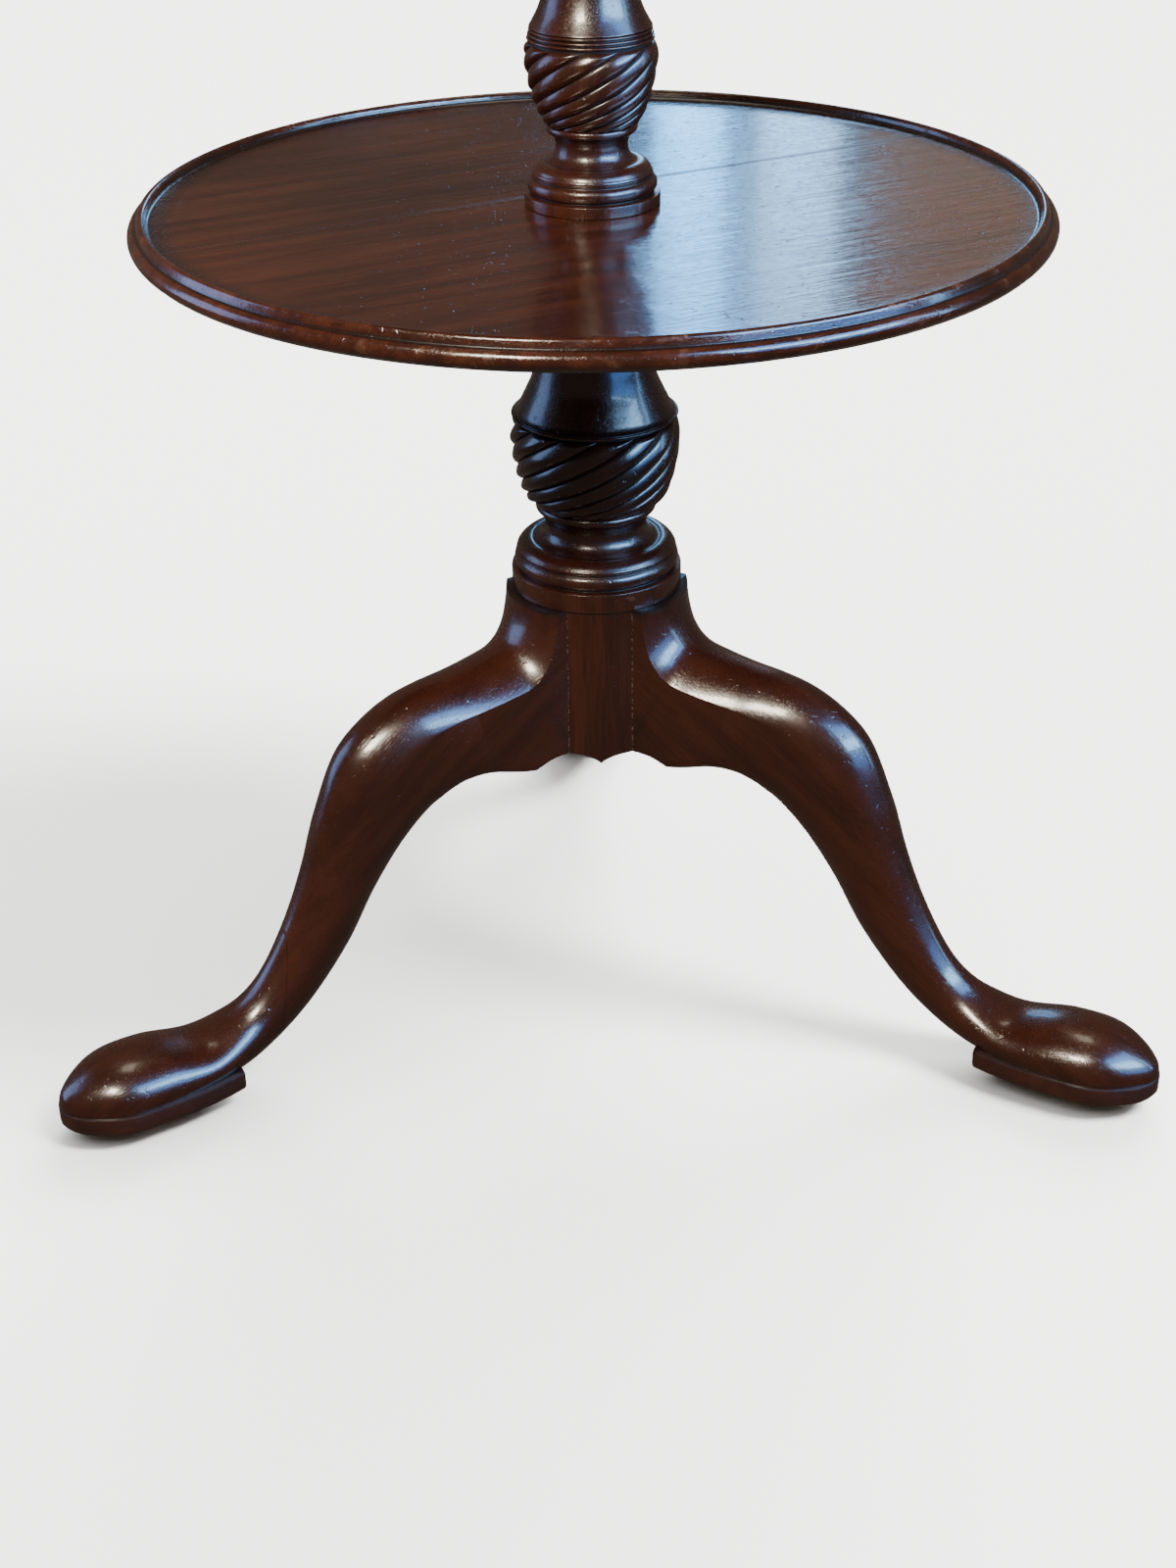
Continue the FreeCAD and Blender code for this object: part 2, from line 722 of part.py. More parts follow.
def make_tray(name, thickness, blind=False):
    """A tray with its bearer and screws. The lowest tray is glued up from two boards."""
    bore = 0 if blind else size_of(f"{name}_spigot_radius") + size_of("spigot_clearance")
    board = turned_body(f"{name}_tray_turned", tray_points(name, bore))
    screws = bearer_screw_shapes(name, size_of(f"{name}_bearer_radius"), thickness)
    drilled = cut(f"{name}_board_drilled", board, *screws)
    bearer = make_bearer(name, thickness, blind)
    keep(f"{name}_tray_bearer", cut(f"{name}_bearer_drilled", bearer, *screws))
    keep(f"{name}_tray_screws", group(f"{name}_screw_group", screws))
    if name != "lower":
        keep(f"{name}_tray_board", drilled)
        return
    block = document.addObject("Part::Box", "front_board_side")
    radius = size_of("lower_tray_radius")
    bind(block, Length=radius * 3, Width=radius * 3, Height=size_of("rim_height") * 3)
    azimuth = size_of("board_joint_azimuth")
    turn = math.radians(azimuth.value)
    along, behind = -1.5 * radius, size_of("board_joint_offset") - radius * 3
    x = along * math.cos(turn) - behind * math.sin(turn)
    y = along * math.sin(turn) + behind * math.cos(turn)
    place(block, x, y, size_of("lower_tray_height") - size_of("rim_height"), azimuth)
    front = document.addObject("Part::Common", "lower_front_board_shape")
    front.Base = drilled
    front.Tool = block
    keep("lower_tray_front_board", front)
    keep("lower_tray_back_board", cut("lower_back_board_shape", drilled, block))


# Legs

# Stations of the cabriole leg, from shoulder to toe. Shares: reach and height of the upper line, reach and
# height of the lower line, half width. A reach up to 1 is a share of the block's radius, and what it has
# beyond 1 is a share of the way from there to the toe. A height up to 1 is a share of the height of the
# block's lower edge, and what it has beyond 1 is a share of the block's own height. Then the fullness of the
# upper and the lower half of the section, from a plain oval (2) to nearly square (8).
LEG_STATION_SHARES = [
    (1.017, 2.053, 0.113, 2.053, 1.000, 3.0, 3.0),
    (1.021, 1.909, 0.113, 1.709, 1.000, 3.0, 3.5),
    (1.036, 1.786, 0.240, 1.345, 1.000, 3.0, 5.0),
    (1.063, 1.711, 0.646, 1.110, 0.995, 2.9, 7.0),
    (1.105, 1.674, 1.034, 1.019, 0.970, 2.6, 7.5),
    (1.165, 1.642, 1.137, 1.043, 0.895, 2.4, 5.5),
    (1.222, 1.618, 1.180, 1.027, 0.864, 2.3, 4.2),
    (1.281, 1.572, 1.202, 0.994, 0.833, 2.3, 3.6),
    (1.342, 1.479, 1.222, 0.962, 0.809, 2.2, 3.1),
    (1.398, 1.332, 1.240, 0.927, 0.788, 2.2, 2.7),
    (1.453, 0.976, 1.294, 0.818, 0.742, 2.1, 2.3),
    (1.488, 0.778, 1.352, 0.657, 0.667, 2.0, 2.1),
    (1.530, 0.590, 1.414, 0.454, 0.591, 2.0, 2.0),
    (1.588, 0.406, 1.504, 0.257, 0.545, 2.0, 2.0),
    (1.632, 0.326, 1.580, 0.152, 0.591, 2.0, 2.0),
    (1.672, 0.284, 1.642, 0.107, 0.727, 2.0, 2.0),
    (1.727, 0.252, 1.719, 0.089, 0.879, 2.0, 2.2),
    (1.821, 0.283, 1.818, 0.043, 1.000, 2.1, 2.2),
    (1.908, 0.276, 1.901, 0.037, 0.939, 2.1, 2.2),
    (1.962, 0.233, 1.954, 0.061, 0.652, 2.1, 2.2),
    (1.993, 0.185, 1.990, 0.096, 0.300, 2.1, 2.2),
    (2.000, 0.152, 1.999, 0.120, 0.110, 2.1, 2.2),
]
SECTION_POINTS = 20


def station_reach(share):
    """The distance from the pillar's axis that a station's share stands for."""
    beyond = size_of("leg_reach") - size_of("block_radius")
    return size_of("block_radius") * min(share, 1) + beyond * max(share - 1, 0)


def station_height(share):
    """The height that a station's share stands for."""
    return size_of("block_bottom") * min(share, 1) + size_of("block_height") * max(share - 1, 0)


def section_points(station):
    """Points round one section of the leg, in the plane through its upper and lower point."""
    upper = FreeCAD.Vector(station_reach(station[0]).value, 0, station_height(station[1]).value)
    lower = FreeCAD.Vector(station_reach(station[2]).value, 0, station_height(station[3]).value)
    half_width = station[4] * size_of("leg_half_width").value
    points = []
    for count in range(SECTION_POINTS):
        angle = 2 * math.pi * count / SECTION_POINTS
        across, up = math.cos(angle), math.sin(angle)
        power = 2 / (station[5] if up >= 0 else station[6])
        aside = math.copysign(abs(across) ** power, across) * half_width
        above_share = math.copysign(abs(up) ** power, up) / 2
        points.append((upper + lower) * 0.5 + (upper - lower) * above_share + FreeCAD.Vector(0, aside, 0))
    return points


def spacing_shares(points):
    """How far round the closed section each point lies, from 0 to 1."""
    reached = [0.0]
    for count, point in enumerate(points):
        reached.append(reached[-1] + (points[(count + 1) % len(points)] - point).Length)
    return [distance / reached[-1] for distance in reached]


def even_spacing(rows):
    """The mean share of the way that each row of points has come along, from 0 to 1."""
    spacings = []
    for column in zip(*rows):
        reached = [0.0]
        for before, after in zip(column, column[1:]):
            reached.append(reached[-1] + (after - before).Length)
        spacings.append([distance / reached[-1] for distance in reached])
    return [sum(column) / len(column) for column in zip(*spacings)]


def leg_blank():
    """The leg along +X: one smooth skin through all the sections, closed at both ends."""
    sections = [section_points(station) for station in LEG_STATION_SHARES]
    spacings = [spacing_shares(points) for points in sections]
    shared_spacing = [sum(column) / len(column) for column in zip(*spacings)]
    rings = []
    for points in sections:
        ring = Part.BSplineCurve()
        ring.interpolate(Points=points, PeriodicFlag=True, Parameters=shared_spacing)
        rings.append(ring)
    rows = [ring.getPoles() for ring in rings]
    along = even_spacing(rows)
    lines = []
    for column in zip(*rows):
        line = Part.BSplineCurve()
        line.interpolate(Points=list(column), Parameters=along)
        lines.append(line)
    skin = Part.BSplineSurface()
    skin.buildFromPolesMultsKnots([line.getPoles() for line in lines],
                                  rings[0].getMultiplicities(), lines[0].getMultiplicities(),
                                  rings[0].getKnots(), lines[0].getKnots(),
                                  True, False, rings[0].Degree, lines[0].Degree)
    faces = [skin.toShape()]
    for ring in (rings[0], rings[-1]):
        faces.append(Part.Face(Part.Wire([ring.toShape()])))
    shell = Part.makeShell(faces)
    shell.sewShape()
    blank = Part.makeSolid(shell)
    if blank.Volume < 0:
        blank.reverse()
    return blank


def dovetail_tenon(name):
    """The dovetail on the leg's inner end, along +X."""
    radius = size_of("block_radius")
    depth, fit = size_of("dovetail_depth"), size_of("dovetail_fit")
    neck, tail = size_of("dovetail_neck_half_width"), size_of("dovetail_tail_half_width")
    back = radius * 1.1

    def draw(sketch):
        draw_outline(sketch, [
            (radius - depth + fit, tail - fit),
            (radius - depth + fit, fit - tail),
            (radius, fit - neck),
            (back, fit - neck),
            (back, neck - fit),
            (radius, neck - fit),
        ])

    height = size_of("dovetail_height") - fit
    tenon = pad_body(name, "XY_Plane", draw, height)
    return place(tenon, z=size_of("block_bottom"))


def castor_screw_shapes(name, side):
    """Short screws that hold the castor's plate to the sole of one foot, along +X."""
    screws = []
    count = int(size_of("castor_screws_each").value)
    circle, length = size_of("castor_screw_circle"), size_of("castor_screw_length")
    bottom = size_of("sole_height") - size_of("castor_plate_thickness")
    for number in range(count):
        angle = math.radians(60 + 360 * number / count)
        x = size_of("castor_reach") + circle * math.cos(angle)
        y = circle * math.sin(angle)
        screws.append(cylinder(f"{name}_{side}_{number}", size_of("castor_screw_radius"), length, x, y, bottom))
    return screws


def turned_to(thing, azimuth):
    """Turn a finished piece about the pillar's axis to its place."""
    thing.Placement = FreeCAD.Placement(FreeCAD.Vector(), FreeCAD.Rotation(FreeCAD.Vector(0, 0, 1), azimuth))
    return thing


def spider_screw(name, reach, azimuth=0):
    """A round-headed screw up through the spider plate."""
    bottom = size_of("block_bottom") - size_of("spider_thickness") - size_of("spider_screw_head_height")
    x, y = reach * math.cos(math.radians(azimuth)), reach * math.sin(math.radians(azimuth))
    head = cylinder(f"{name}_head", size_of("spider_screw_head_radius"), size_of("spider_screw_head_height"),
                    x, y, bottom)
    shank = cylinder(f"{name}_shank", size_of("spider_screw_radius"), size_of("spider_screw_length"),
                     x, y, bottom)
    return fuse(name, head, shank)


def spider_screw_set(name):
    """The screw into the block and the one into each leg."""
    screws = [spider_screw(f"{name}_block", size_of("spider_screw_reach") * 0)]
    for side, azimuth in LEG_AZIMUTHS.items():
        screws.append(spider_screw(f"{name}_{side}", size_of("spider_screw_reach"), azimuth))
    return screws


# Where the scarf joint of the left foot leaves the leg above, as shares of reach and height like those of the
# stations, and where it meets the sole, as a share of the reach
SCARF_TOP_SHARES = (1.547, 0.500)
SCARF_SOLE_SHARE = 1.592


def scarf_block():
    """The space in front of the left leg's scarf joint, where the foot was pieced."""
    reach, height = station_reach(SCARF_TOP_SHARES[0]), station_height(SCARF_TOP_SHARES[1])
    foot, sole = station_reach(SCARF_SOLE_SHARE), size_of("sole_height")
    toe, overrun = size_of("pad_toe_reach"), size_of("cut_overrun")
    slope = (foot - reach) / (height - sole)

    def draw(sketch):
        draw_outline(sketch, [
            (reach - slope * overrun, height + overrun),
            (foot + slope * sole, 0),
            (toe + overrun, 0),
            (toe + overrun, height + overrun),
        ])

    return pad_body("scarf_space", "XZ_Plane", draw, size_of("leg_half_width") * 4, both_ways=True)


def make_legs():
    blank = leg_blank()
    for side, azimuth in LEG_AZIMUTHS.items():
        leg = document.addObject("Part::Feature", f"{side}_leg_blank")
        leg.Shape = blank.copy()
        radius, overrun = size_of("block_radius"), size_of("cut_overrun")
        block = cylinder(f"{side}_block_space", radius, size_of("block_height") * 2, z=size_of("block_bottom") * 0.5)
        below = cylinder(f"{side}_floor_space", size_of("pad_toe_reach") * 1.2, size_of("sole_height"))
        crown = document.addObject("Part::Box", f"{side}_crown_space")
        bind(crown, Length=size_of("leg_reach") * 0.5, Width=size_of("leg_half_width") * 4,
             Height=size_of("block_height"))
        place(crown, y=size_of("leg_half_width") * -2, z=size_of("leg_height"))
        spaces = [block, below, crown]
        for count, cutter in enumerate(cusp_cutters(f"{side}_cusp")):
            turned = group(f"{side}_cusp_turned_{count}", [cutter])
            spaces.append(turned_to(turned, 30))
        shaped = cut(f"{side}_leg_shaped", leg, *spaces)
        joined = fuse(f"{side}_leg_joined", shaped, dovetail_tenon(f"{side}_tenon"))
        spider_hole = spider_screw(f"{side}_spider_hole", size_of("spider_screw_reach"))
        drilled = cut(f"{side}_leg_drilled", joined, spider_hole, *castor_screw_shapes("leg_hole", side))
        if side != "left":
            keep(f"leg_{side}", turned_to(drilled, azimuth))
            continue
        scarf = scarf_block()
        keep("leg_left", turned_to(cut("left_leg_cut", drilled, scarf), azimuth))
        foot = document.addObject("Part::Common", "left_foot_shape")
        foot.Base = drilled
        foot.Tool = scarf
        keep("left_foot_splice", turned_to(foot, azimuth))


def make_foot_pad(side, azimuth):
    """The pad under a foot, bored through for the castor."""
    heel, toe = size_of("pad_heel_reach"), size_of("pad_toe_reach")
    widest, half = size_of("pad_widest_reach"), size_of("pad_half_width")
    heel_half = size_of("pad_heel_half_width")
    shoulder = widest + (toe - widest) * 0.7
    shoulder_half = half * 0.7

    def draw(sketch):
        draw_outline(sketch, [
            (heel, heel_half, 0.04),
            (heel, -heel_half, 0.04),
            (widest, -half, 0.04),
            (shoulder, -shoulder_half, 0.1),
            (toe, 0, 0.12),
            (shoulder, shoulder_half, 0.12),
            (widest, half, 0.1),
        ])

    def draw_recess(sketch):
        draw_circle(sketch, size_of("castor_reach"), 0, size_of("castor_recess_radius"))

    thickness = size_of("pad_thickness")
    body = pad_body(f"{side}_pad_body", "XY_Plane", draw, thickness)
    document.recompute()
    bottom_edges = [f"Edge{number}" for number, edge in enumerate(body.Shape.Edges, start=1)
                    if edge.BoundBox.ZMax < thickness.value / 2]
    square_edged = body.Tip
    fillet = body.newObject("PartDesign::Fillet", f"{side}_pad_round")
    fillet.Base = (square_edged, bottom_edges)
    bind(fillet, Radius=size_of("pad_edge_round"))
    body.Tip = fillet
    pocket_through(body, f"{side}_castor_recess", "XY_Plane", draw_recess, thickness, reverse=True)
    place(body, z=size_of("sole_height") - thickness)
    pad = group(f"{side}_pad_place", [body])
    keep(f"foot_pad_{side}", turned_to(pad, azimuth))


# Castors

def make_castor(side, azimuth):
    """Plate with king pin, horn, axle and wheel, placed under one foot and turned to its rest angle."""
    axle_height, trail = size_of("wheel_radius"), size_of("castor_trail")
    plate_bottom = size_of("sole_height") - size_of("castor_plate_thickness")
    crown_top = plate_bottom - size_of("swivel_gap")
    crown_bottom = crown_top - size_of("crown_thickness")
    inside = size_of("wheel_width") + size_of("cheek_gap") * 2
    across = inside + size_of("cheek_thickness") * 2
    clearance = size_of("running_clearance")
    pin = size_of("king_pin_radius")
    head_top = crown_bottom - size_of("swivel_gap")
    head_bottom = head_top - size_of("king_pin_head_thickness")

    plate = cylinder(f"{side}_plate_disc", size_of("castor_plate_radius"), size_of("castor_plate_thickness"),
                     z=plate_bottom)
    shank = cylinder(f"{side}_king_pin", pin, plate_bottom - head_bottom, z=head_bottom)
    head = cylinder(f"{side}_king_pin_head", size_of("king_pin_head_radius"),
                    size_of("king_pin_head_thickness"), z=head_bottom)
    whole_plate = fuse(f"{side}_plate_joined", plate, shank, head)

    end = size_of("cheek_end_radius")
    crown = size_of("crown_radius")

    def draw_cheek(sketch):
        draw_outline(sketch, [
            (-crown, crown_top),
            (-crown, crown_bottom),
            (trail - end, axle_height, -0.1),
            (trail + end, axle_height, 0.45),
            (crown + end, crown_bottom, 0.06),
            (crown, crown_top, 0.1),
        ])

    def draw_slot(sketch):
        draw_outline(sketch, [
            (-(crown + end), crown_bottom),
            (-(crown + end), 0),
            (trail + end * 2, 0),
            (trail + end * 2, crown_bottom),
        ])

    def draw_pin_hole(sketch):
        draw_circle(sketch, 0, 0, pin + clearance)

    def draw_axle_hole(sketch):
        draw_circle(sketch, trail, axle_height, size_of("axle_radius"))

    horn = pad_body(f"{side}_horn_body", "XZ_Plane", draw_cheek, across, both_ways=True)
    pocket_through(horn, f"{side}_wheel_slot", "XZ_Plane", draw_slot, inside, both_ways=True)
    pocket_through(horn, f"{side}_axle_hole", "XZ_Plane", draw_axle_hole, across, both_ways=True)
    pocket_through(horn, f"{side}_pin_hole", "XY_Plane", draw_pin_hole, plate_bottom, reverse=True)

    axle = cylinder(f"{side}_axle_rod", size_of("axle_radius"), across)
    axle.Placement = FreeCAD.Placement(FreeCAD.Vector(trail.value, across.value / 2, axle_height.value),
                                       FreeCAD.Rotation(FreeCAD.Vector(1, 0, 0), 90))
    axle.setExpression("Placement.Base.x", trail.text)
    axle.setExpression("Placement.Base.y", (across * 0.5).text)
    axle.setExpression("Placement.Base.z", axle_height.text)

    bore = size_of("axle_radius") + clearance
    half_width, edge = size_of("wheel_width") * 0.5, size_of("wheel_edge_round")
    radius = size_of("wheel_radius")
    wheel = turned_body(f"{side}_wheel_turned", [
        (bore, half_width * -1),
        (radius - edge, half_width * -1),
        (radius, edge - half_width, 0.2071),
        (radius, half_width - edge),
        (radius - edge, half_width, 0.2071),
        (bore, half_width),
    ])
    wheel.Placement = FreeCAD.Placement(FreeCAD.Vector(trail.value, 0, axle_height.value),
                                        FreeCAD.Rotation(FreeCAD.Vector(1, 0, 0), 90))
    wheel.setExpression("Placement.Base.x", trail.text)
    wheel.setExpression("Placement.Base.z", axle_height.text)

    angle = math.radians(azimuth)
    x, y = size_of("castor_reach") * math.cos(angle), size_of("castor_reach") * math.sin(angle)
    turn = size_of(f"{side}_castor_turn")
    whole_plate = cut(f"{side}_plate_drilled", group(f"{side}_plate_at_foot", [whole_plate]),
                      group(f"{side}_plate_holes", [
                          place(screw, screw_x, screw_y, plate_bottom)
                          for screw, screw_x, screw_y in plate_hole_shapes(side)]))
    for node, thing in ((f"castor_plate_{side}", whole_plate), (f"castor_horn_{side}", horn),
                        (f"castor_axle_{side}", axle), (f"castor_wheel_{side}", wheel)):
        placed = group(f"{node}_placed", [thing])
        fixed = node.startswith("castor_plate")
        keep(node, place(placed, x, y, 0, as_size(azimuth) if fixed else turn + azimuth))


def plate_hole_shapes(side):
    """Holes of the castor's plate, at the plate's own centre."""
    holes = []
    count = int(size_of("castor_screws_each").value)
    for number in range(count):
        angle = math.radians(60 + 360 * number / count)
        hole = cylinder(f"plate_hole_{side}_{number}", size_of("castor_screw_radius"),
                        size_of("castor_plate_thickness"))
        circle = size_of("castor_screw_circle")
        holes.append((hole, circle * math.cos(angle), circle * math.sin(angle)))
    return holes


def make_castor_screws():
    screws = []
    for side, azimuth in LEG_AZIMUTHS.items():
        for screw in castor_screw_shapes("castor_screw", side):
            screws.append(turned_to(group(f"{screw.Name}_turned", [screw]), azimuth))
    keep("castor_screws", group("castor_screw_group", screws))


# Spider plate

def make_spider():
    """The wrought iron plate that ties block and legs together from below."""
    bottom = size_of("block_bottom") - size_of("spider_thickness")
    hub = cylinder("spider_hub", size_of("spider_hub_radius"), size_of("spider_thickness"), z=bottom)
    arms = []
    for side, azimuth in LEG_AZIMUTHS.items():
        half, reach = size_of("spider_arm_half_width"), size_of("spider_arm_reach")

        def draw(sketch):
            draw_outline(sketch, [
                (0, half * -1),
                (reach - half, half * -0.8),
                (reach - half, half * 0.8, 0.45),
                (0, half),
            ])

        arm = place(pad_body(f"spider_arm_{side}", "XY_Plane", draw, size_of("spider_thickness")), z=bottom)
        arms.append(turned_to(group(f"spider_arm_{side}_turned", [arm]), azimuth))
    screws = spider_screw_set("spider_screw")
    keep("spider_plate", cut("spider_drilled", fuse("spider_joined", hub, *arms), *screws))
    keep("spider_screws", group("spider_screw_group", screws))


# The table

make_pillar_base()
make_upper_pillar("pillar_middle", "middle", "lower",
                  size_of("middle_tray_floor") + size_of("middle_spigot_grip"))
make_upper_pillar("pillar_top", "top", "middle",
                  size_of("top_tray_height") - size_of("bearer_edge_round") - size_of("socket_end_gap"))
make_tray("lower", size_of("bearer_thickness"))
make_tray("middle", size_of("bearer_thickness"))
make_tray("top", size_of("top_bearer_thickness"), blind=True)
make_legs()
for leg_side, leg_azimuth in LEG_AZIMUTHS.items():
    make_foot_pad(leg_side, leg_azimuth)
    make_castor(leg_side, leg_azimuth)
make_castor_screws()
make_spider()
document.recompute()

# Checks before anything is written
for thing in document.Objects:
    if "Invalid" in thing.State or "Error" in thing.State:
        raise RuntimeError(f"{thing.Label} did not build: {thing.State}")
for node, thing in sub_parts.items():
    if thing.Shape.isNull() or not thing.Shape.isValid() or not thing.Shape.Solids:
        raise RuntimeError(f"{node} has no valid solid")

os.makedirs("parts", exist_ok=True)
for node, thing in sub_parts.items():
    thing.Shape.exportStep(f"parts/{node}.step")
    print(f"{node}: {len(thing.Shape.Solids)} solids, {thing.Shape.Volume / 1000:.1f} cm3")
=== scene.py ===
"""Dressed model of the mahogany dumbwaiter table, built round its solids.

Tables of sizes are in millimetres in the solids' frame; meshes are made in metres.
"""
import math

import bmesh
import bpy
from mathutils import Matrix, Vector


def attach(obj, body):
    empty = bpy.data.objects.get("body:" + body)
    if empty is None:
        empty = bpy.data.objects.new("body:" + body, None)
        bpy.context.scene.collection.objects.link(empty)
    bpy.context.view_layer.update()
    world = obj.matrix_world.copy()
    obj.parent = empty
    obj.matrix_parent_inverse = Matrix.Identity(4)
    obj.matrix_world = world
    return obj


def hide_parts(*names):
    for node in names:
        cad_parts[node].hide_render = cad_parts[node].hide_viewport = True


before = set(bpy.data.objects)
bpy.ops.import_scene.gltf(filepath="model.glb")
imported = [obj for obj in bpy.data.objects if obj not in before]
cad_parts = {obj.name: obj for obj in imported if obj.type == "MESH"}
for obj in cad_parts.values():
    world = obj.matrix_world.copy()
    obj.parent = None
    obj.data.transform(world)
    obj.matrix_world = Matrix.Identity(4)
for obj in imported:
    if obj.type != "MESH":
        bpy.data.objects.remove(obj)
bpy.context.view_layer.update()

MM = 0.001
TINY = 1e-6
CUT_MARGIN = 1e-7
LEG_AZIMUTHS = {"left": -150.0, "right": -30.0, "rear": 90.0}


def direction(azimuth, elevation):
    """The unit vector along an azimuth and an elevation in degrees."""
    a, e = math.radians(azimuth), math.radians(elevation)
    return Vector((math.cos(e) * math.cos(a), math.cos(e) * math.sin(a), math.sin(e)))


def turn_point(x, y, turn):
    """A point turned about the pillar's axis."""
    return x * math.cos(turn) - y * math.sin(turn), x * math.sin(turn) + y * math.cos(turn)


def hermite(t, start, start_slope, end, end_slope):
    """A smooth curve from a start to an end with a slope at each, at a share of the way."""
    return ((2 * t ** 3 - 3 * t ** 2 + 1) * start + (t ** 3 - 2 * t ** 2 + t) * start_slope
            + (3 * t ** 2 - 2 * t ** 3) * end + (t ** 3 - t ** 2) * end_slope)


# Outlines

LEAST_ARC_STEPS = 5
# A rounded corner: the most of each side that it takes, and where its points lie along it
CORNER_REACH_SHARE = 0.45
CORNER_SHARES = (0.0, 0.33, 0.67, 1.0)


def arc_points(start, end, bulge, steps):
    """Points of an arc after its start.

    The bulge is the rise over the chord, positive on the right of the travel.
    """
    (x0, y0), (x1, y1) = start, end
    if not bulge:
        return [end]
    dx, dy = x1 - x0, y1 - y0
    chord = math.hypot(dx, dy)
    rise = bulge * chord
    radius = (chord * chord / 4 + rise * rise) / (2 * rise)
    cx = (x0 + x1) / 2 + (dy / chord) * (rise - radius)
    cy = (y0 + y1) / 2 - (dx / chord) * (rise - radius)
    a0 = math.atan2(y0 - cy, x0 - cx)
    a1 = math.atan2(y1 - cy, x1 - cx)
    turn = math.remainder(a1 - a0, 2 * math.pi)
    size = abs(radius)
    return [(cx + size * math.cos(a0 + turn * k / steps), cy + size * math.sin(a0 + turn * k / steps))
            for k in range(1, steps + 1)]


def expand(points, arc_step=0.9):
    """Turn an open outline of (x, y) or (x, y, bulge) into closely spaced points."""
    line = [tuple(points[0][:2])]
    for point in points[1:]:
        start, end = line[-1], tuple(point[:2])
        bulge = point[2] if len(point) > 2 else 0
        steps = max(LEAST_ARC_STEPS, int(math.dist(start, end) / arc_step))
        line += arc_points(start, end, bulge, steps)
    return line


def soften(line, size, sharp_degrees=24):
    """Round each sharp corner of an open line with a small curve."""
    out = [line[0]]
    for before, here, after in zip(line, line[1:], line[2:]):
        a = Vector((before[0] - here[0], before[1] - here[1]))
        b = Vector((after[0] - here[0], after[1] - here[1]))
        if a.length < TINY or b.length < TINY:
            continue
        turn = 180 - math.degrees(a.angle(b))
        if turn < sharp_degrees:
            out.append(here)
            continue
        reach = min(size, a.length * CORNER_REACH_SHARE, b.length * CORNER_REACH_SHARE)
        p0, p2 = a.normalized() * reach, b.normalized() * reach
        for share in CORNER_SHARES:
            bend = p0 * (1 - share) ** 2 + p2 * share ** 2
            out.append((here[0] + bend.x, here[1] + bend.y))
    out.append(line[-1])
    return out


def fill_in(line, step):
    """Add points so that no stretch of the line is longer than the step."""
    out = [line[0]]
    for start, end in zip(line, line[1:]):
        count = max(1, int(math.dist(start, end) / step))
        out += [(start[0] + (end[0] - start[0]) * k / count, start[1] + (end[1] - start[1]) * k / count)
                for k in range(1, count + 1)]
    return out


def hollows(line, reach=2.2, full=0.55):
    """How hollow (positive) or proud (negative) each point of an outline is, from -1 to 1."""
    lengths = [0.0]
    for start, end in zip(line, line[1:]):
        lengths.append(lengths[-1] + math.dist(start, end))

    def at(distance):
        distance = min(max(distance, 0.0), lengths[-1])
        index = max(k for k in range(len(lengths) - 1) if lengths[k] <= distance)
        share = (distance - lengths[index]) / (lengths[index + 1] - lengths[index] or 1.0)
        low, high = line[index], line[index + 1]
        return low[0] + (high[0] - low[0]) * share, low[1] + (high[1] - low[1]) * share

    values = []
    for point, distance in zip(line, lengths):
        a, b = at(distance - reach), at(distance + reach)
        # The outline runs upwards with the wood on its left, so its right side is outside
        tangent = Vector((b[0] - a[0], b[1] - a[1]))
        if tangent.length < TINY:
            values.append(0.0)
            continue
        outside = Vector((tangent.y, -tangent.x)).normalized()
        middle = Vector(((a[0] + b[0]) / 2 - point[0], (a[1] + b[1]) / 2 - point[1]))
        values.append(max(-1.0, min(1.0, middle.dot(outside) / full)))
    return values


# Meshes

def make_object(name, verts, faces, material, hollow):
    """A smooth-shaded object from points in millimetres, each with a hollow value: painted shade with grime
    where positive, rubbing where negative.
    """
    mesh = bpy.data.meshes.new(name)
    mesh.from_pydata([(x * MM, y * MM, z * MM) for x, y, z in verts], [], faces)
    mesh.validate()
    layer = mesh.attributes.new("hollow", "FLOAT", "POINT")
    layer.data.foreach_set("value", hollow)
    thing = bpy.data.objects.new(name, mesh)
    bpy.context.scene.collection.objects.link(thing)
    finish_mesh(thing, material)
    return thing


def finish_mesh(thing, material, sharp_degrees=40):
    """Merge doubled points, smooth the shading and give the mesh its one material."""
    mesh = thing.data
    tidy = bmesh.new()
    tidy.from_mesh(mesh)
    bmesh.ops.remove_doubles(tidy, verts=tidy.verts, dist=TINY)
    bmesh.ops.recalc_face_normals(tidy, faces=tidy.faces)
    tidy.to_mesh(mesh)
    tidy.free()
    mesh.polygons.foreach_set("use_smooth", [True] * len(mesh.polygons))
    mesh.set_sharp_from_angle(angle=math.radians(sharp_degrees))
    mesh.materials.clear()
    mesh.materials.append(material)


def ring_faces(rings, count, closed=False):
    """Faces between rings of points that follow one another, and back to the first if closed."""
    faces = []
    for ring in range(rings if closed else rings - 1):
        here, there = ring * count, (ring + 1) % rings * count
        for step in range(count):
            after = (step + 1) % count
            faces.append([here + step, here + after, there + after, there + step])
    return faces


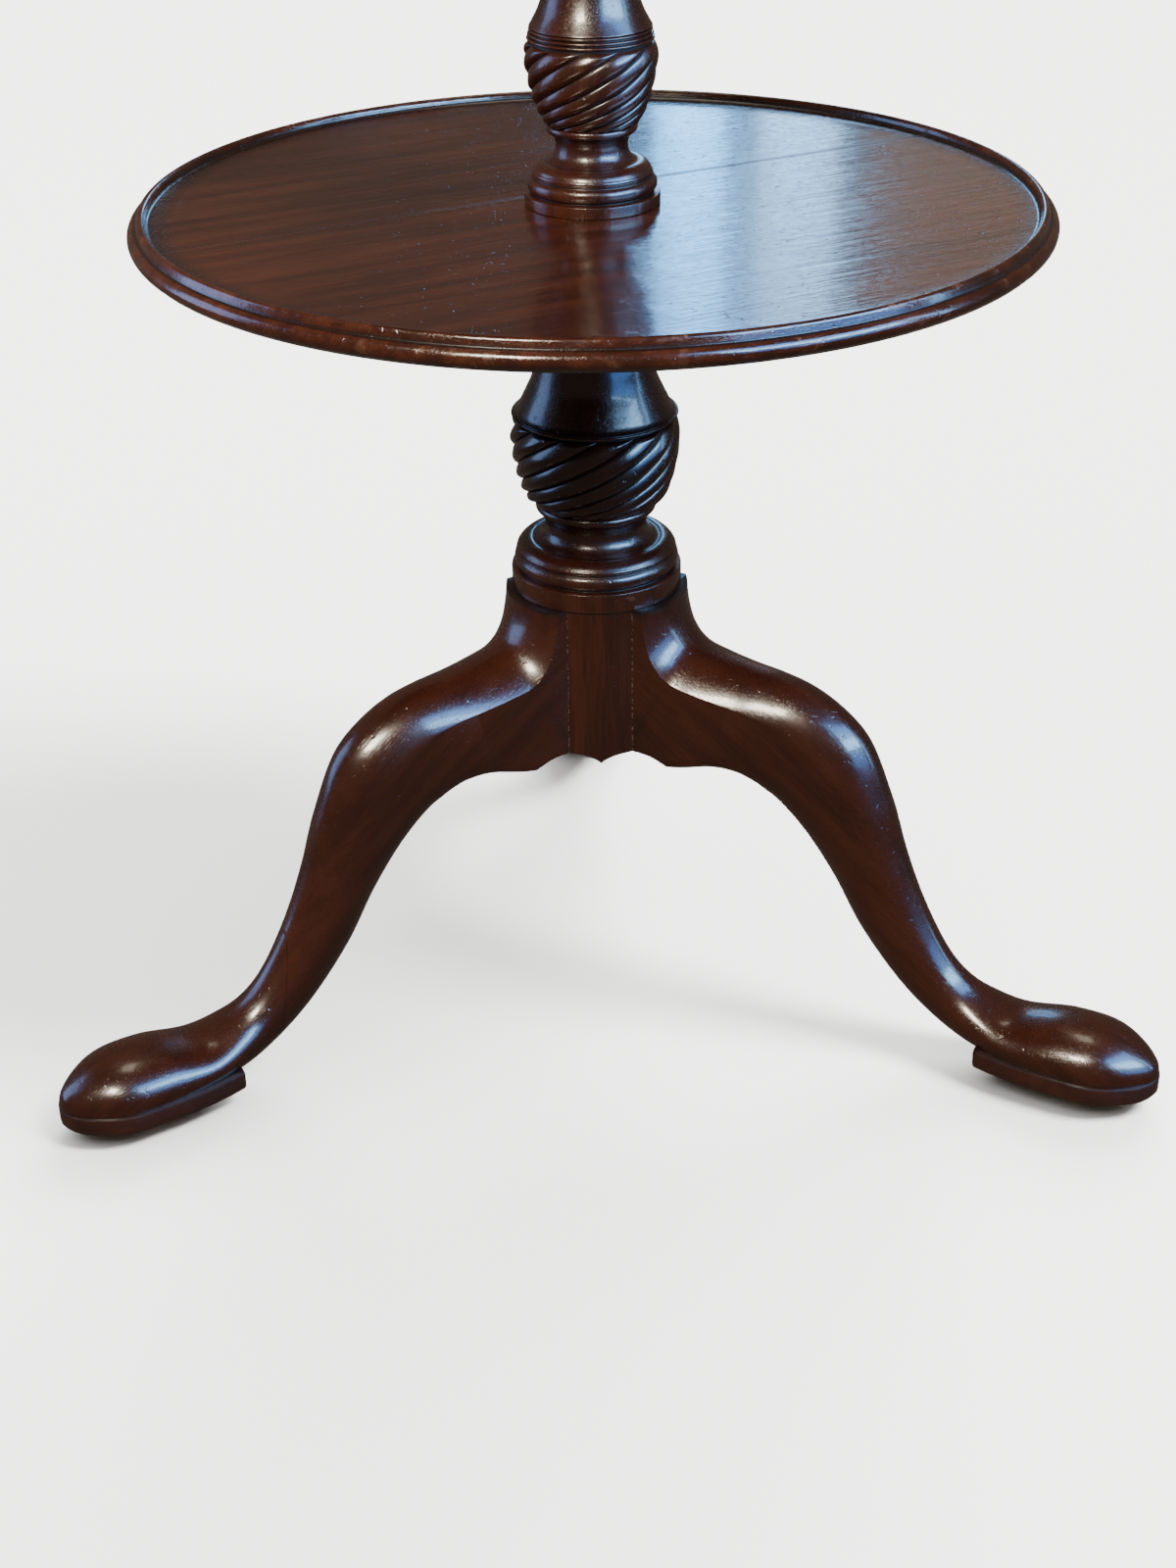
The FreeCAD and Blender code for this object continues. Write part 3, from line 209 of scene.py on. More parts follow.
def slice_mesh(thing, point, outward):
    """Cut away what lies outward of a plane, and close the cut."""
    cutter = bmesh.new()
    cutter.from_mesh(thing.data)
    parts = cutter.verts[:] + cutter.edges[:] + cutter.faces[:]
    found = bmesh.ops.bisect_plane(cutter, geom=parts, dist=CUT_MARGIN, plane_co=point, plane_no=outward,
                                   clear_outer=True)
    rim = [item for item in found["geom_cut"] if isinstance(item, bmesh.types.BMEdge)]
    if rim:
        bmesh.ops.holes_fill(cutter, edges=rim, sides=0)
    cutter.to_mesh(thing.data)
    cutter.free()


def copy_object(thing, name):
    """A second object with a mesh of its own."""
    copied = thing.copy()
    copied.data = thing.data.copy()
    copied.name = name
    copied.data.name = name
    bpy.context.scene.collection.objects.link(copied)
    return copied


def lathe(name, line, segments, material, values, place=None):
    """Turn an open outline of (radius, height) about Z. The place function can move each point and give it
    painted shade.
    """
    verts, hollow, rows, faces = [], [], [], []
    for index, (radius, height) in enumerate(line):
        if radius < TINY:
            rows.append([len(verts)] * segments)
            verts.append((0.0, 0.0, height))
            hollow.append(values[index])
            continue
        rows.append(list(range(len(verts), len(verts) + segments)))
        for column in range(segments):
            if place:
                x, y, z, shade_and_grime = place(index, radius, height, column)
                verts.append((x, y, z))
                hollow.append(max(values[index], shade_and_grime) if shade_and_grime else values[index])
            else:
                angle = 2 * math.pi * column / segments
                verts.append((radius * math.cos(angle), radius * math.sin(angle), height))
                hollow.append(values[index])
    for low, high in zip(rows, rows[1:]):
        for column in range(segments):
            after = (column + 1) % segments
            face = list(dict.fromkeys([low[column], low[after], high[after], high[column]]))
            if len(face) > 2:
                faces.append(face)
    return make_object(name, verts, faces, material, hollow)


# Materials

class Tree:
    """A short way to write a material's nodes."""

    def __init__(self, name):
        self.material = bpy.data.materials.new(name)
        self.material.use_nodes = True
        self.nodes = self.material.node_tree.nodes
        self.links = self.material.node_tree.links
        self.surface = self.nodes["Principled BSDF"]

    def add(self, kind, settings=None, **inputs):
        node = self.nodes.new(kind)
        for key, value in (settings or {}).items():
            setattr(node, key, value)
        for key, value in inputs.items():
            self.put(node, key, value)
        return node

    def put(self, node, key, value):
        """Set an input or link a socket to it. The key is the input's name, or i and its number."""
        if key[0] == "i" and key[1:].isdigit():
            socket = node.inputs[int(key[1:])]
        else:
            socket = node.inputs[key.replace("_", " ")]
        if isinstance(value, bpy.types.NodeSocket):
            self.links.new(value, socket)
        else:
            socket.default_value = value

    def math(self, operation, a, b=0.0, c=0.0, clamp=False):
        node = self.add("ShaderNodeMath", {"operation": operation, "use_clamp": clamp}, i0=a, i1=b, i2=c)
        return node.outputs[0]

    def above(self, value, level, gain):
        """How far a value stands above a level, times a gain, from 0 to 1."""
        over = self.math("SUBTRACT", value, level, clamp=True)
        return self.math("MULTIPLY", over, gain, clamp=True)

    def line(self, away, half):
        """1 in the middle of a line, and 0 from half its width away."""
        far = self.math("DIVIDE", self.math("ABSOLUTE", away), half)
        return self.math("SUBTRACT", 1.0, far, clamp=True)

    def scaled(self, vector, scale):
        node = self.add("ShaderNodeVectorMath", {"operation": "MULTIPLY"}, i0=vector, i1=scale)
        return node.outputs[0]

    def noise(self, vector, scale, detail, roughness):
        node = self.add("ShaderNodeTexNoise", Vector=vector, Scale=scale, Detail=detail, Roughness=roughness)
        return node.outputs["Fac"]

    def ramp(self, value, stops):
        node = self.add("ShaderNodeValToRGB", Fac=value)
        elements = node.color_ramp.elements
        while len(elements) < len(stops):
            elements.new(0.5)
        for element, (place, color) in zip(elements, stops):
            element.position = place
            element.color = (*color, 1.0)
        return node.outputs["Color"]

    def mix(self, share, under, color, blend="MIX"):
        node = self.add("ShaderNodeMix", {"data_type": "RGBA", "blend_type": blend, "clamp_factor": True},
                        i0=share, i6=under, i7=(*color, 1.0))
        return node.outputs[2]

    def bump(self, height, strength, distance, normal=None):
        node = self.add("ShaderNodeBump", Height=height, Strength=strength, Distance=distance)
        if normal is not None:
            self.put(node, "Normal", normal)
        return node.outputs["Normal"]


WOOD_DARK = (0.0075, 0.0024, 0.0016)
WOOD_MID = (0.030, 0.0082, 0.0046)
WOOD_RED = (0.070, 0.0195, 0.0095)
WOOD_LIGHT = (0.125, 0.042, 0.020)
# Near black: grime in pores, joint lines and seams, and painted shade in hollows and creases
GRIME_AND_SHADE = (0.004, 0.0022, 0.0016)
BARE = (0.17, 0.085, 0.05)
DUST = (0.34, 0.27, 0.20)
WOOD_STOPS = [(0.30, WOOD_DARK), (0.46, WOOD_MID), (0.60, WOOD_RED), (0.80, WOOD_LIGHT)]
# Noises along the grain: stretch along its three axes, detail and roughness
GRAIN_NOISES = {
    "streak": ((5.0, 62.0, 62.0), 7.0, 0.62),
    "fine": ((40.0, 720.0, 720.0), 4.0, 0.6),
    "pores": ((150.0, 2300.0, 2300.0), 2.0, 0.5),
    "ripple": ((9.0, 125.0, 125.0), 3.0, 0.55),
}
# Noises with no direction: scale, detail and roughness
EVEN_NOISES = {
    "wander": (5.0, 2.0, 0.55),
    "wave": (22.0, 2.0, 0.55),
    "cloud": (7.0, 3.0, 0.5),
    "blotch": (38.0, 3.0, 0.6),
    "chips": (120.0, 2.0, 0.5),
    "dents": (260.0, 2.0, 0.5),
    "dust": (420.0, 3.0, 0.6),
}
GRAIN_SWAY = 0.012
STREAK_SHARE, FINE_SHARE = 0.70, 0.30
CLOUD_SHARE, CLOUD_MIDDLE = 0.32, 0.16
MIDDLE_SHADE = 0.50
JOINT_HALF_WIDTH = 0.0009
SEAM_HALF_WIDTH = 0.0007
WORN_HALF_WIDTH = SEAM_HALF_WIDTH * 6
# What lies over the wood, from below: how dense it is where its mask is full, and its colour. The cover in
# the hollows is painted shade with grime
COVERS = {"pore": (0.55, GRIME_AND_SHADE), "rubbed": (0.30, WOOD_LIGHT), "chip": (0.8, BARE), "shade_and_grime": (0.85, GRIME_AND_SHADE),
          "joint": (0.7, GRIME_AND_SHADE), "dust": (0.45, DUST), "seam": (0.9, GRIME_AND_SHADE)}
# How much rougher than its polish each flaw makes the wood
FLAW_ROUGHNESS = {"blotch": 0.13, "pore": 0.10, "shade_and_grime": 0.14, "worn": 0.40, "chip": 0.35}
WAX = {"Specular IOR Level": 0.55, "Coat Weight": 0.25, "Coat Roughness": 0.09, "Coat IOR": 1.5}
# Strength and height in metres of each relief
RELIEFS = {"wave": (0.35, 0.0011), "streak": (0.25, 0.0007), "fine": (0.30, 0.00022), "pore": (0.30, 0.00012),
           "dent": (0.5, 0.0006)}
RIPPLE_HEIGHT = 0.0009


def bent_grain(tree, here, grain_turn, figure):
    """The space of the grain, which runs along the turned X axis and sways a little."""
    mapping = tree.add("ShaderNodeMapping", {"vector_type": "TEXTURE"}, Vector=here)
    mapping.inputs["Rotation"].default_value = grain_turn
    grain = mapping.outputs[0]
    wander = tree.noise(grain, *EVEN_NOISES["wander"])
    sway = (0.0, GRAIN_SWAY * figure, GRAIN_SWAY * figure)
    bent = tree.add("ShaderNodeVectorMath", {"operation": "MULTIPLY_ADD"}, i0=wander, i1=sway, i2=grain)
    return bent.outputs[0]


def grain_noise(tree, bent, kind):
    """A noise drawn out along the grain."""
    stretch, detail, roughness = GRAIN_NOISES[kind]
    return tree.noise(tree.scaled(bent, stretch), 1.0, detail, roughness)


def wood_color(tree, streak, fine, cloud, calm):
    """Dark to light wood by its streaks, fine grain and clouds. Calm wood has less contrast."""
    shade = tree.math("MULTIPLY_ADD", fine, FINE_SHARE, tree.math("MULTIPLY", streak, STREAK_SHARE))
    shade = tree.math("MULTIPLY_ADD", cloud, CLOUD_SHARE, tree.math("SUBTRACT", shade, CLOUD_MIDDLE))
    shade = tree.math("MULTIPLY_ADD", shade, 1.0 - calm, MIDDLE_SHADE * calm)
    return tree.ramp(shade, WOOD_STOPS)


def edge_masks(tree, here, blotch, wear):
    """Painted shade with grime in the hollows, rubbing on the proud edges and chips in them."""
    hollow = tree.add("ShaderNodeAttribute", {"attribute_name": "hollow"}).outputs["Fac"]
    # Painted shade, with grime, where the hollow value stands high
    shade_and_grime = tree.math("MULTIPLY_ADD", blotch, 0.5, tree.math("SUBTRACT", hollow, 0.28), clamp=True)
    shade_and_grime = tree.math("MULTIPLY", shade_and_grime, tree.math("GREATER_THAN", hollow, 0.02))
    proud = tree.math("MULTIPLY", hollow, -1.0, clamp=True)
    rubbed = tree.math("MULTIPLY", tree.above(blotch, 0.47, 4.0), proud)
    chip = tree.above(tree.noise(here, *EVEN_NOISES["chips"]), wear, 18.0)
    chip = tree.math("MULTIPLY", chip, tree.math("MULTIPLY", rubbed, 0.8, clamp=True))
    return {"shade_and_grime": shade_and_grime, "rubbed": rubbed, "chip": chip}


def joint_masks(tree, here, radius):
    """A joint line round the pillar's axis, and the dust in places along it."""
    flat = tree.scaled(here, (1.0, 1.0, 0.0))
    away = tree.add("ShaderNodeVectorMath", {"operation": "LENGTH"}, i0=flat).outputs["Value"]
    line = tree.line(tree.math("SUBTRACT", away, radius), JOINT_HALF_WIDTH)
    dust = tree.above(tree.noise(here, *EVEN_NOISES["dust"]), 0.47, 7.0)
    return {"joint": line, "dust": tree.math("MULTIPLY", line, dust)}


def seam_masks(tree, here, blotch, seam):
    """The dark line between two boards, and the worn band along it."""
    normal, distance = seam
    along = tree.add("ShaderNodeVectorMath", {"operation": "DOT_PRODUCT"}, i0=here, i1=normal)
    away = tree.math("SUBTRACT", along.outputs["Value"], distance)
    worn = tree.line(away, WORN_HALF_WIDTH)
    worn = tree.math("MULTIPLY", worn, tree.math("MULTIPLY_ADD", blotch, 0.6, 0.4))
    return {"seam": tree.line(away, SEAM_HALF_WIDTH), "worn": worn}


def set_color(tree, wood, tone, masks):
    """The wood's colour under its grime, painted shade, wear and dust, darkened by its tone."""
    for kind, (density, color) in COVERS.items():
        if kind in masks:
            wood = tree.mix(tree.math("MULTIPLY", masks[kind], density), wood, color)
    tree.put(tree.surface, "Base Color", tree.mix(1.0, wood, (tone, tone, tone), "MULTIPLY"))


def set_polish(tree, gloss, masks):
    """Roughness from the polish and its flaws, under a thin coat of wax."""
    dull = gloss
    for kind, rougher in FLAW_ROUGHNESS.items():
        if kind in masks:
            dull = tree.math("MULTIPLY_ADD", masks[kind], rougher, dull, clamp=True)
    tree.put(tree.surface, "Roughness", dull)
    for key, value in WAX.items():
        tree.put(tree.surface, key, value)


def set_relief(tree, here, bent, streak, fine, pore, ripple):
    """Waves, grain, pores and dents in the polished surface."""
    normal = tree.bump(tree.noise(here, *EVEN_NOISES["wave"]), *RELIEFS["wave"])
    normal = tree.bump(streak, *RELIEFS["streak"], normal)
    normal = tree.bump(fine, *RELIEFS["fine"], normal)
    if ripple:
        normal = tree.bump(grain_noise(tree, bent, "ripple"), ripple, RIPPLE_HEIGHT, normal)
    normal = tree.bump(tree.math("MULTIPLY", pore, -1.0), *RELIEFS["pore"], normal)
    dents = tree.math("SUBTRACT", tree.noise(here, *EVEN_NOISES["dents"]), 0.66, clamp=True)
    normal = tree.bump(tree.math("MULTIPLY", dents, -6.0), *RELIEFS["dent"], normal)
    tree.put(tree.surface, "Normal", normal)


def mahogany(name, grain_turn, tone=1.0, figure=1.0, gloss=0.17, calm=0.45, seam=None, joint=0.0, ripple=0.0,
             wear=0.64):
    """Old polished mahogany. The grain runs along the turned X axis."""
    tree = Tree(name)
    here = tree.add("ShaderNodeTexCoord").outputs["Object"]
    bent = bent_grain(tree, here, grain_turn, figure)
    streak = grain_noise(tree, bent, "streak")
    fine = grain_noise(tree, bent, "fine")
    pore = tree.above(grain_noise(tree, bent, "pores"), 0.56, 5.0)
    cloud = tree.noise(here, *EVEN_NOISES["cloud"])
    blotch = tree.noise(here, *EVEN_NOISES["blotch"])
    masks = {"blotch": blotch, "pore": pore, **edge_masks(tree, here, blotch, wear)}
    if joint:
        masks.update(joint_masks(tree, here, joint))
    if seam:
        masks.update(seam_masks(tree, here, blotch, seam))
    set_color(tree, wood_color(tree, streak, fine, cloud, calm), tone, masks)
    set_polish(tree, gloss, masks)
    set_relief(tree, here, bent, streak, fine, pore, ripple)
    return tree.material


def metal(name, color, dark, roughness, scale=90.0, bump=0.0002):
    """Old metal with tarnish in patches."""
    tree = Tree(name)
    here = tree.add("ShaderNodeTexCoord").outputs["Object"]
    patch = tree.noise(here, scale, 4.0, 0.6)
    spots = tree.noise(here, scale * 7, 3.0, 0.6)
    mixed = tree.math("MULTIPLY_ADD", spots, 0.4, tree.math("MULTIPLY", patch, 0.6))
    tree.put(tree.surface, "Base Color", tree.ramp(mixed, [(0.36, dark), (0.58, color)]))
    tree.put(tree.surface, "Metallic", 1.0)
    tree.put(tree.surface, "Roughness", tree.math("MULTIPLY_ADD", mixed, 0.25, roughness))
    tree.put(tree.surface, "Normal", tree.bump(mixed, 0.4, bump))
    return tree.material


SEAM_AZIMUTH = 26.0
SEAM_OFFSET = 30.0
UPPER_GRAIN_AZIMUTH = 80.0
LEG_GRAIN_PITCH = 38.0
TRAY_LOOK = dict(figure=1.4, gloss=0.08, calm=0.3, ripple=0.35, wear=0.57)
LEG_LOOK = dict(tone=0.80, gloss=0.16, calm=0.62, joint=0.0541)

seam_turn = math.radians(SEAM_AZIMUTH)
seam_normal = Vector((-math.sin(seam_turn), math.cos(seam_turn), 0.0))
tray_wood = mahogany("mahogany_tray", (0.0, 0.0, seam_turn), seam=(tuple(seam_normal), SEAM_OFFSET * MM),
                     **TRAY_LOOK)
upper_tray_wood = mahogany("mahogany_upper_tray", (0.0, 0.0, math.radians(UPPER_GRAIN_AZIMUTH)), **TRAY_LOOK)
pillar_wood = mahogany("mahogany_pillar", (0.0, math.pi / 2, 0.0), tone=0.78)
leg_woods = {}
for leg_side, leg_azimuth in LEG_AZIMUTHS.items():
    leg_grain = (0.0, math.radians(LEG_GRAIN_PITCH), math.radians(leg_azimuth))
    leg_woods[leg_side] = mahogany(f"mahogany_leg_{leg_side}", leg_grain, **LEG_LOOK)
pad_wood = mahogany("mahogany_pad", (0.0, 0.0, 0.4), tone=0.7, gloss=0.3)
brass = metal("brass_old", (0.62, 0.42, 0.16), (0.16, 0.10, 0.05), 0.22)
iron = metal("wrought_iron", (0.09, 0.085, 0.08), (0.035, 0.028, 0.024), 0.5, 60.0, 0.0005)
screw_iron = metal("iron_screws", (0.22, 0.20, 0.18), (0.06, 0.045, 0.04), 0.36)


# Pillars

# The shaft's flare: share of its height, then share of the way from its neck out to the collar
LOWER_FLARE_SHARES = [(0.0, 0.93), (0.03, 0.855), (0.07, 0.80), (0.2, 0.635), (0.34, 0.47), (0.52, 0.345),
                      (0.75, 0.165), (1.0, 0.0)]
UPPER_FLARE_SHARES = [(0.0, 0.93), (0.06, 0.80), (0.14, 0.645), (0.25, 0.49), (0.34, 0.39), (0.52, 0.24),
                      (0.75, 0.08), (1.0, 0.0)]
# The urn's outline: share of its height, then share of its greatest radius
LOWER_URN_SHARES = [(0.0, 0.735), (0.1, 0.845), (0.3, 0.925), (0.52, 0.975), (0.78, 1.0), (1.0, 0.962)]
UPPER_URN_SHARES = [(0.0, 0.70), (0.12, 0.79), (0.35, 0.895), (0.6, 0.962), (0.85, 1.0), (1.0, 0.968)]
# Radius and height of each turned part, with a ring's rise between them. Then the reeds' number, turn and
# start in degrees, the quirk over them, and the number, height and spacing of the collar's beads
PILLARS = {
    "lower": dict(plinth=(55.5, 13.0), torus=(53.6, 10.5), fillet=(52.3, 3.3), neck=(33.0, 13.0),
                  ring=(39.8, 11.0, 6.5), urn=(54.5, 58.7), collar=(53.2, 6.0), shaft=(28.0, 62.0),
                  capital=(38.0, 20.0), reeds=13, turn=140.0, start=7.0, quirk=2.4, beads=(1, 1.2, 0.5),
                  flare_shares=LOWER_FLARE_SHARES, urn_shares=LOWER_URN_SHARES),
    "middle": dict(plinth=(41.3, 7.2), torus=(39.5, 9.5), fillet=(37.1, 3.8), neck=(21.8, 14.5),
                   ring=(28.3, 7.5, 5.5), urn=(40.2, 48.5), collar=(37.9, 7.5), shaft=(20.0, 66.0),
                   capital=(29.0, 16.0), reeds=11, turn=166.0, start=14.9, quirk=1.5, beads=(3, 1.75, 0.75),
                   flare_shares=UPPER_FLARE_SHARES, urn_shares=UPPER_URN_SHARES),
    "top": dict(plinth=(35.5, 6.2), torus=(34.0, 8.2), fillet=(31.9, 3.3), neck=(18.8, 12.5),
                ring=(24.3, 6.5, 4.8), urn=(34.5, 41.7), collar=(32.5, 6.4), shaft=(17.2, 57.0),
                capital=(26.0, 14.0), reeds=11, turn=166.0, start=14.9, quirk=1.3, beads=(3, 1.5, 0.65),
                flare_shares=UPPER_FLARE_SHARES, urn_shares=UPPER_URN_SHARES),
}
# The fillet's fine quirks: depth in from its radius, share of its height and bulge
FILLET_SHARES = [(0.6, 0.0, 0), (0.0, 0.28, 0.1), (0.8, 0.34, 0), (0.15, 0.40, 0), (0.2, 0.47, 0),
                 (0.8, 0.53, 0), (0.4, 0.60, 0)]
# How far the reeds have turned by each share of the urn's height
REED_TURN_SHARES = [(0.0, 0.0), (0.1, 0.16), (0.25, 0.355), (0.5, 0.61), (1.0, 1.0)]
REED_DEPTH = 3.5
# One pitch across: a round lobe that falls to a crisp crease
REED_SHARES = [(0.0, 0.96), (0.05, 0.985), (0.10, 1.0), (0.15, 0.99), (0.20, 0.955), (0.25, 0.89),
               (0.30, 0.79), (0.35, 0.65), (0.39, 0.50), (0.42, 0.36), (0.45, 0.16), (0.47, 0.0),
               (0.49, 0.15), (0.53, 0.30), (0.58, 0.43), (0.65, 0.56), (0.73, 0.68), (0.81, 0.78),
               (0.89, 0.87), (0.96, 0.935)]
# The upper share of the urn's reeded height in which the lobes round off
LOBE_END = 0.055
# Painted shade in the reeds' creases: how deep a cut starts to darken, and how fast
REED_SHADE_START, REED_SHADE_GAIN = 0.45, 1.9
# Even rows up most of the urn, then closer ones where the lobes end, and the rows of the quirk above
URN_ROWS = 52
URN_EVEN_SHARE = 0.94
URN_END_SHARES = [0.952, 0.962, 0.971, 0.979, 0.985, 0.990, 0.994, 0.997, 1.0]
URN_ROW_SHARES = [row / URN_ROWS * URN_EVEN_SHARE for row in range(URN_ROWS + 1)] + URN_END_SHARES
QUIRK_SHARES = (0.05, 0.5, 0.97)
FLARE_ROWS = 32
FLARE_ROW_POWER = 1.4
PILLAR_STEP = 6.0


def read_shares(table, share):
    """Read a share table with a smooth curve through its points."""
    for index in range(len(table) - 1):
        if share <= table[index + 1][0] or index == len(table) - 2:
            break
    (x1, y1), (x2, y2) = table[index], table[index + 1]
    x0, y0 = table[max(index - 1, 0)]
    x3, y3 = table[min(index + 2, len(table) - 1)]
    span = x2 - x1
    slope_1 = (y2 - y0) / (x2 - x0) * span
    slope_2 = (y3 - y1) / (x3 - x1) * span
    return hermite((share - x1) / span, y1, slope_1, y2, slope_2)


def reed_cut(share, level):
    """How deep one place of the urn is cut, from 0 on a lobe's crest to 1 in the crease."""
    past = (share - 1 + LOBE_END) / LOBE_END
    if past > 0:
        level *= math.sqrt(max(0.0, 1 - past * past))
    return 1 - level


def foot_points(size, bottom, start):
    """The outline of a pillar from its start up to the foot of its urn, and the height of that foot."""
    torus_bottom = bottom + size["plinth"][1]
    torus_top = torus_bottom + size["torus"][1]
    fillet_top = torus_top + size["fillet"][1]
    neck_top = fillet_top + size["neck"][1]
    ring_bottom = neck_top + size["ring"][1]
    urn_bottom = ring_bottom + size["ring"][2]
    torus, fillet, neck = size["torus"][0], size["fillet"][0], size["neck"][0]
    swell = min(0.30 * size["torus"][1], torus - fillet + 1.2)
    bulge = swell / (size["torus"][1] - 0.6)
    ring = size["ring"][0] - size["ring"][2] * 0.5
    thin = size["fillet"][1]
    points = start + [
        (size["plinth"][0], torus_bottom - 0.5),
        (torus - swell, torus_bottom),
        (torus - swell, torus_bottom + 0.3),
        (torus - swell, torus_top - 0.3, bulge),
    ]
    points += [(fillet - depth, torus_top + thin * share, bend) for depth, share, bend in FILLET_SHARES]
    points += [
        (fillet - thin * 0.30, fillet_top, 0.10),
        (neck + (fillet - neck) * 0.42, fillet_top + size["neck"][1] * 0.35, 0.17),
        (neck, neck_top, -0.16),
        (ring, ring_bottom, -0.12),
        (ring, urn_bottom, 0.4),
    ]
    return points, urn_bottom


def urn_points(size, urn_bottom):
    """The rows of the urn, the last of them for the quirk over its lobes."""
    reeded = size["urn"][1] - size["quirk"]
    rows = [(size["urn"][0] * read_shares(size["urn_shares"], share), urn_bottom + reeded * share)
            for share in URN_ROW_SHARES]
    return rows + [(rows[-1][0], urn_bottom + reeded + size["quirk"] * share) for share in QUIRK_SHARES]


def flare_points(size, urn_top):
    """The outline over the urn: the collar's beads, and the flare that narrows to the shaft."""
    collar, shaft = size["collar"][0], size["shaft"][0]
    count, bead, groove = size["beads"]
    points = [(collar - bead, urn_top)]
    for index in range(count):
        low = urn_top + (bead + groove) * index
        edge = collar - bead * 0.35 * index
        points += [(edge - bead * 0.35, low),
                   (edge - bead * 0.35, low + bead, 0.42),
                   (edge - bead * 1.15, low + bead + groove * 0.1),
                   (edge - bead * 1.15, low + bead + groove * 0.9)]
    bottom = urn_top + (bead + groove) * count
    top = urn_top + size["collar"][1] + size["shaft"][1]
    for row in range(FLARE_ROWS + 1):
        share = (row / FLARE_ROWS) ** FLARE_ROW_POWER
        radius = shaft + (collar - shaft) * read_shares(size["flare_shares"], share)
        points.append((radius, bottom + (top - bottom) * share))
    return points


def capital_points(size, shoulder, spigot, spigot_top):
    """The outline of the capital under a tray's bearer, and of the spigot that the tray turns on."""
    shaft = size["shaft"][0]
    capital, height = size["capital"]
    bottom = shoulder - height
    return [
        (shaft * 0.96, bottom),
        (shaft * 0.96, bottom + height * 0.12),
        (shaft + height * 0.16, bottom + height * 0.12),
        (shaft + height * 0.16, bottom + height * 0.32, 0.4),
        (shaft, bottom + height * 0.32),
        (shaft, bottom + height * 0.42),
        (capital * 0.94, shoulder - height * 0.25, -0.2),
        (capital, shoulder - height * 0.25),
        (capital, shoulder),
        (spigot, shoulder),
        (spigot, spigot_top),
        (0.0, spigot_top),
    ]


def pillar_line(size, bottom, shoulder, start, spigot, spigot_top):
    """The outline of a pillar, and the first and last row of its urn."""
    below, urn_bottom = foot_points(size, bottom, start)
    urn = urn_points(size, urn_bottom)
    above = flare_points(size, urn_bottom + size["urn"][1])
    above += capital_points(size, shoulder, spigot, spigot_top)
    low = fill_in(soften(expand(below), 0.4), PILLAR_STEP)
    high = fill_in(soften(expand(above), 0.3), PILLAR_STEP)
    return low + urn + high, len(low), len(low) + len(urn) - 1


def turned_pillar(node, kind, line, first, last, shift=None):
    """The pillar's mesh. Its columns follow the reeds, so that their edges stay crisp."""
    size = PILLARS[kind]
    turn = math.radians(size["turn"])
    depth = REED_DEPTH * size["urn"][0] / PILLARS["lower"]["urn"][0]
    pitch = 2 * math.pi / size["reeds"]
    levels = [level for _, level in REED_SHARES]
    columns = [math.radians(size["start"]) + (reed + phase) * pitch
               for reed in range(size["reeds"]) for phase, _ in REED_SHARES]
    bottom = line[first][1]

    def place(index, radius, height, column):
        share = (height - bottom) / (size["urn"][1] - size["quirk"])
        angle = columns[column] + turn * read_shares(REED_TURN_SHARES, min(max(share, 0.0), 1.0))
        shade_and_grime = 0.0
        if first <= index <= last:
            in_quirk = index > last - len(QUIRK_SHARES)
            cut = 1.0 if in_quirk else reed_cut(share, levels[column % len(levels)])
            radius -= cut * depth
            # Painted shade, darker the deeper the reed is cut
            shade_and_grime = min(1.0, max(0.0, cut - REED_SHADE_START) * REED_SHADE_GAIN)
        z = shift(radius, height, angle) if shift else height
        return radius * math.cos(angle), radius * math.sin(angle), z, shade_and_grime

    # How hollow the outline lies sets its painted shade, and how proud it lies sets its rubbing; the urn
    # takes its shade from the reeds
    values = hollows(line, reach=1.1, full=0.28)
    for row in range(first, last + 1):
        values[row] = 0.0
    thing = lathe(f"{node}_turned", line, len(columns), pillar_wood, values, place)
    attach(thing, "base")
    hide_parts(node)


BLOCK_BOTTOM, BLOCK_TOP, BLOCK_RADIUS = 184.0, 294.0, 54.0
BLOCK_RINGS = [0.0, 12.0, 24.0, 30.0, 32.0, 33.0, 34.0, 35.0, 36.5, 40.0, 44.0, 48.0, 51.0, 53.0]
BLOCK_SIDE_SHARES = (0.0, 0.02, 0.06, 0.15, 0.3, 0.45, 0.6, 0.75, 0.9, 0.98, 1.0)
BASE_SHOULDER, BASE_SPIGOT, BASE_SPIGOT_TOP = 515.8, 13.0, 580.0
# The cusps between the legs: half width, rise, and the ring in which they fade into the flat underside
CUSP_GAPS = (-90.0, 30.0, 150.0)
CUSP_SPACING, CUSP_RISE = 20.5, 6.6
CUSP_INNER, CUSP_FADE = 33.5, 3.0


def cusp_height(x, y):
    """The cusped lower edge that block and legs share, for a point in millimetres."""
    height = BLOCK_BOTTOM
    for gap in CUSP_GAPS:
        along, across = turn_point(x, y, -math.radians(gap))
        along = along - CUSP_INNER + CUSP_FADE / 2
        aside = abs(across) - CUSP_SPACING
        if along < 0 or abs(aside) >= CUSP_SPACING:
            continue
        arc = CUSP_RISE * (1 - (abs(aside) / CUSP_SPACING) ** 2.4) ** 0.75
        height = max(height, BLOCK_BOTTOM + arc * min(1.0, along / CUSP_FADE))
    return height


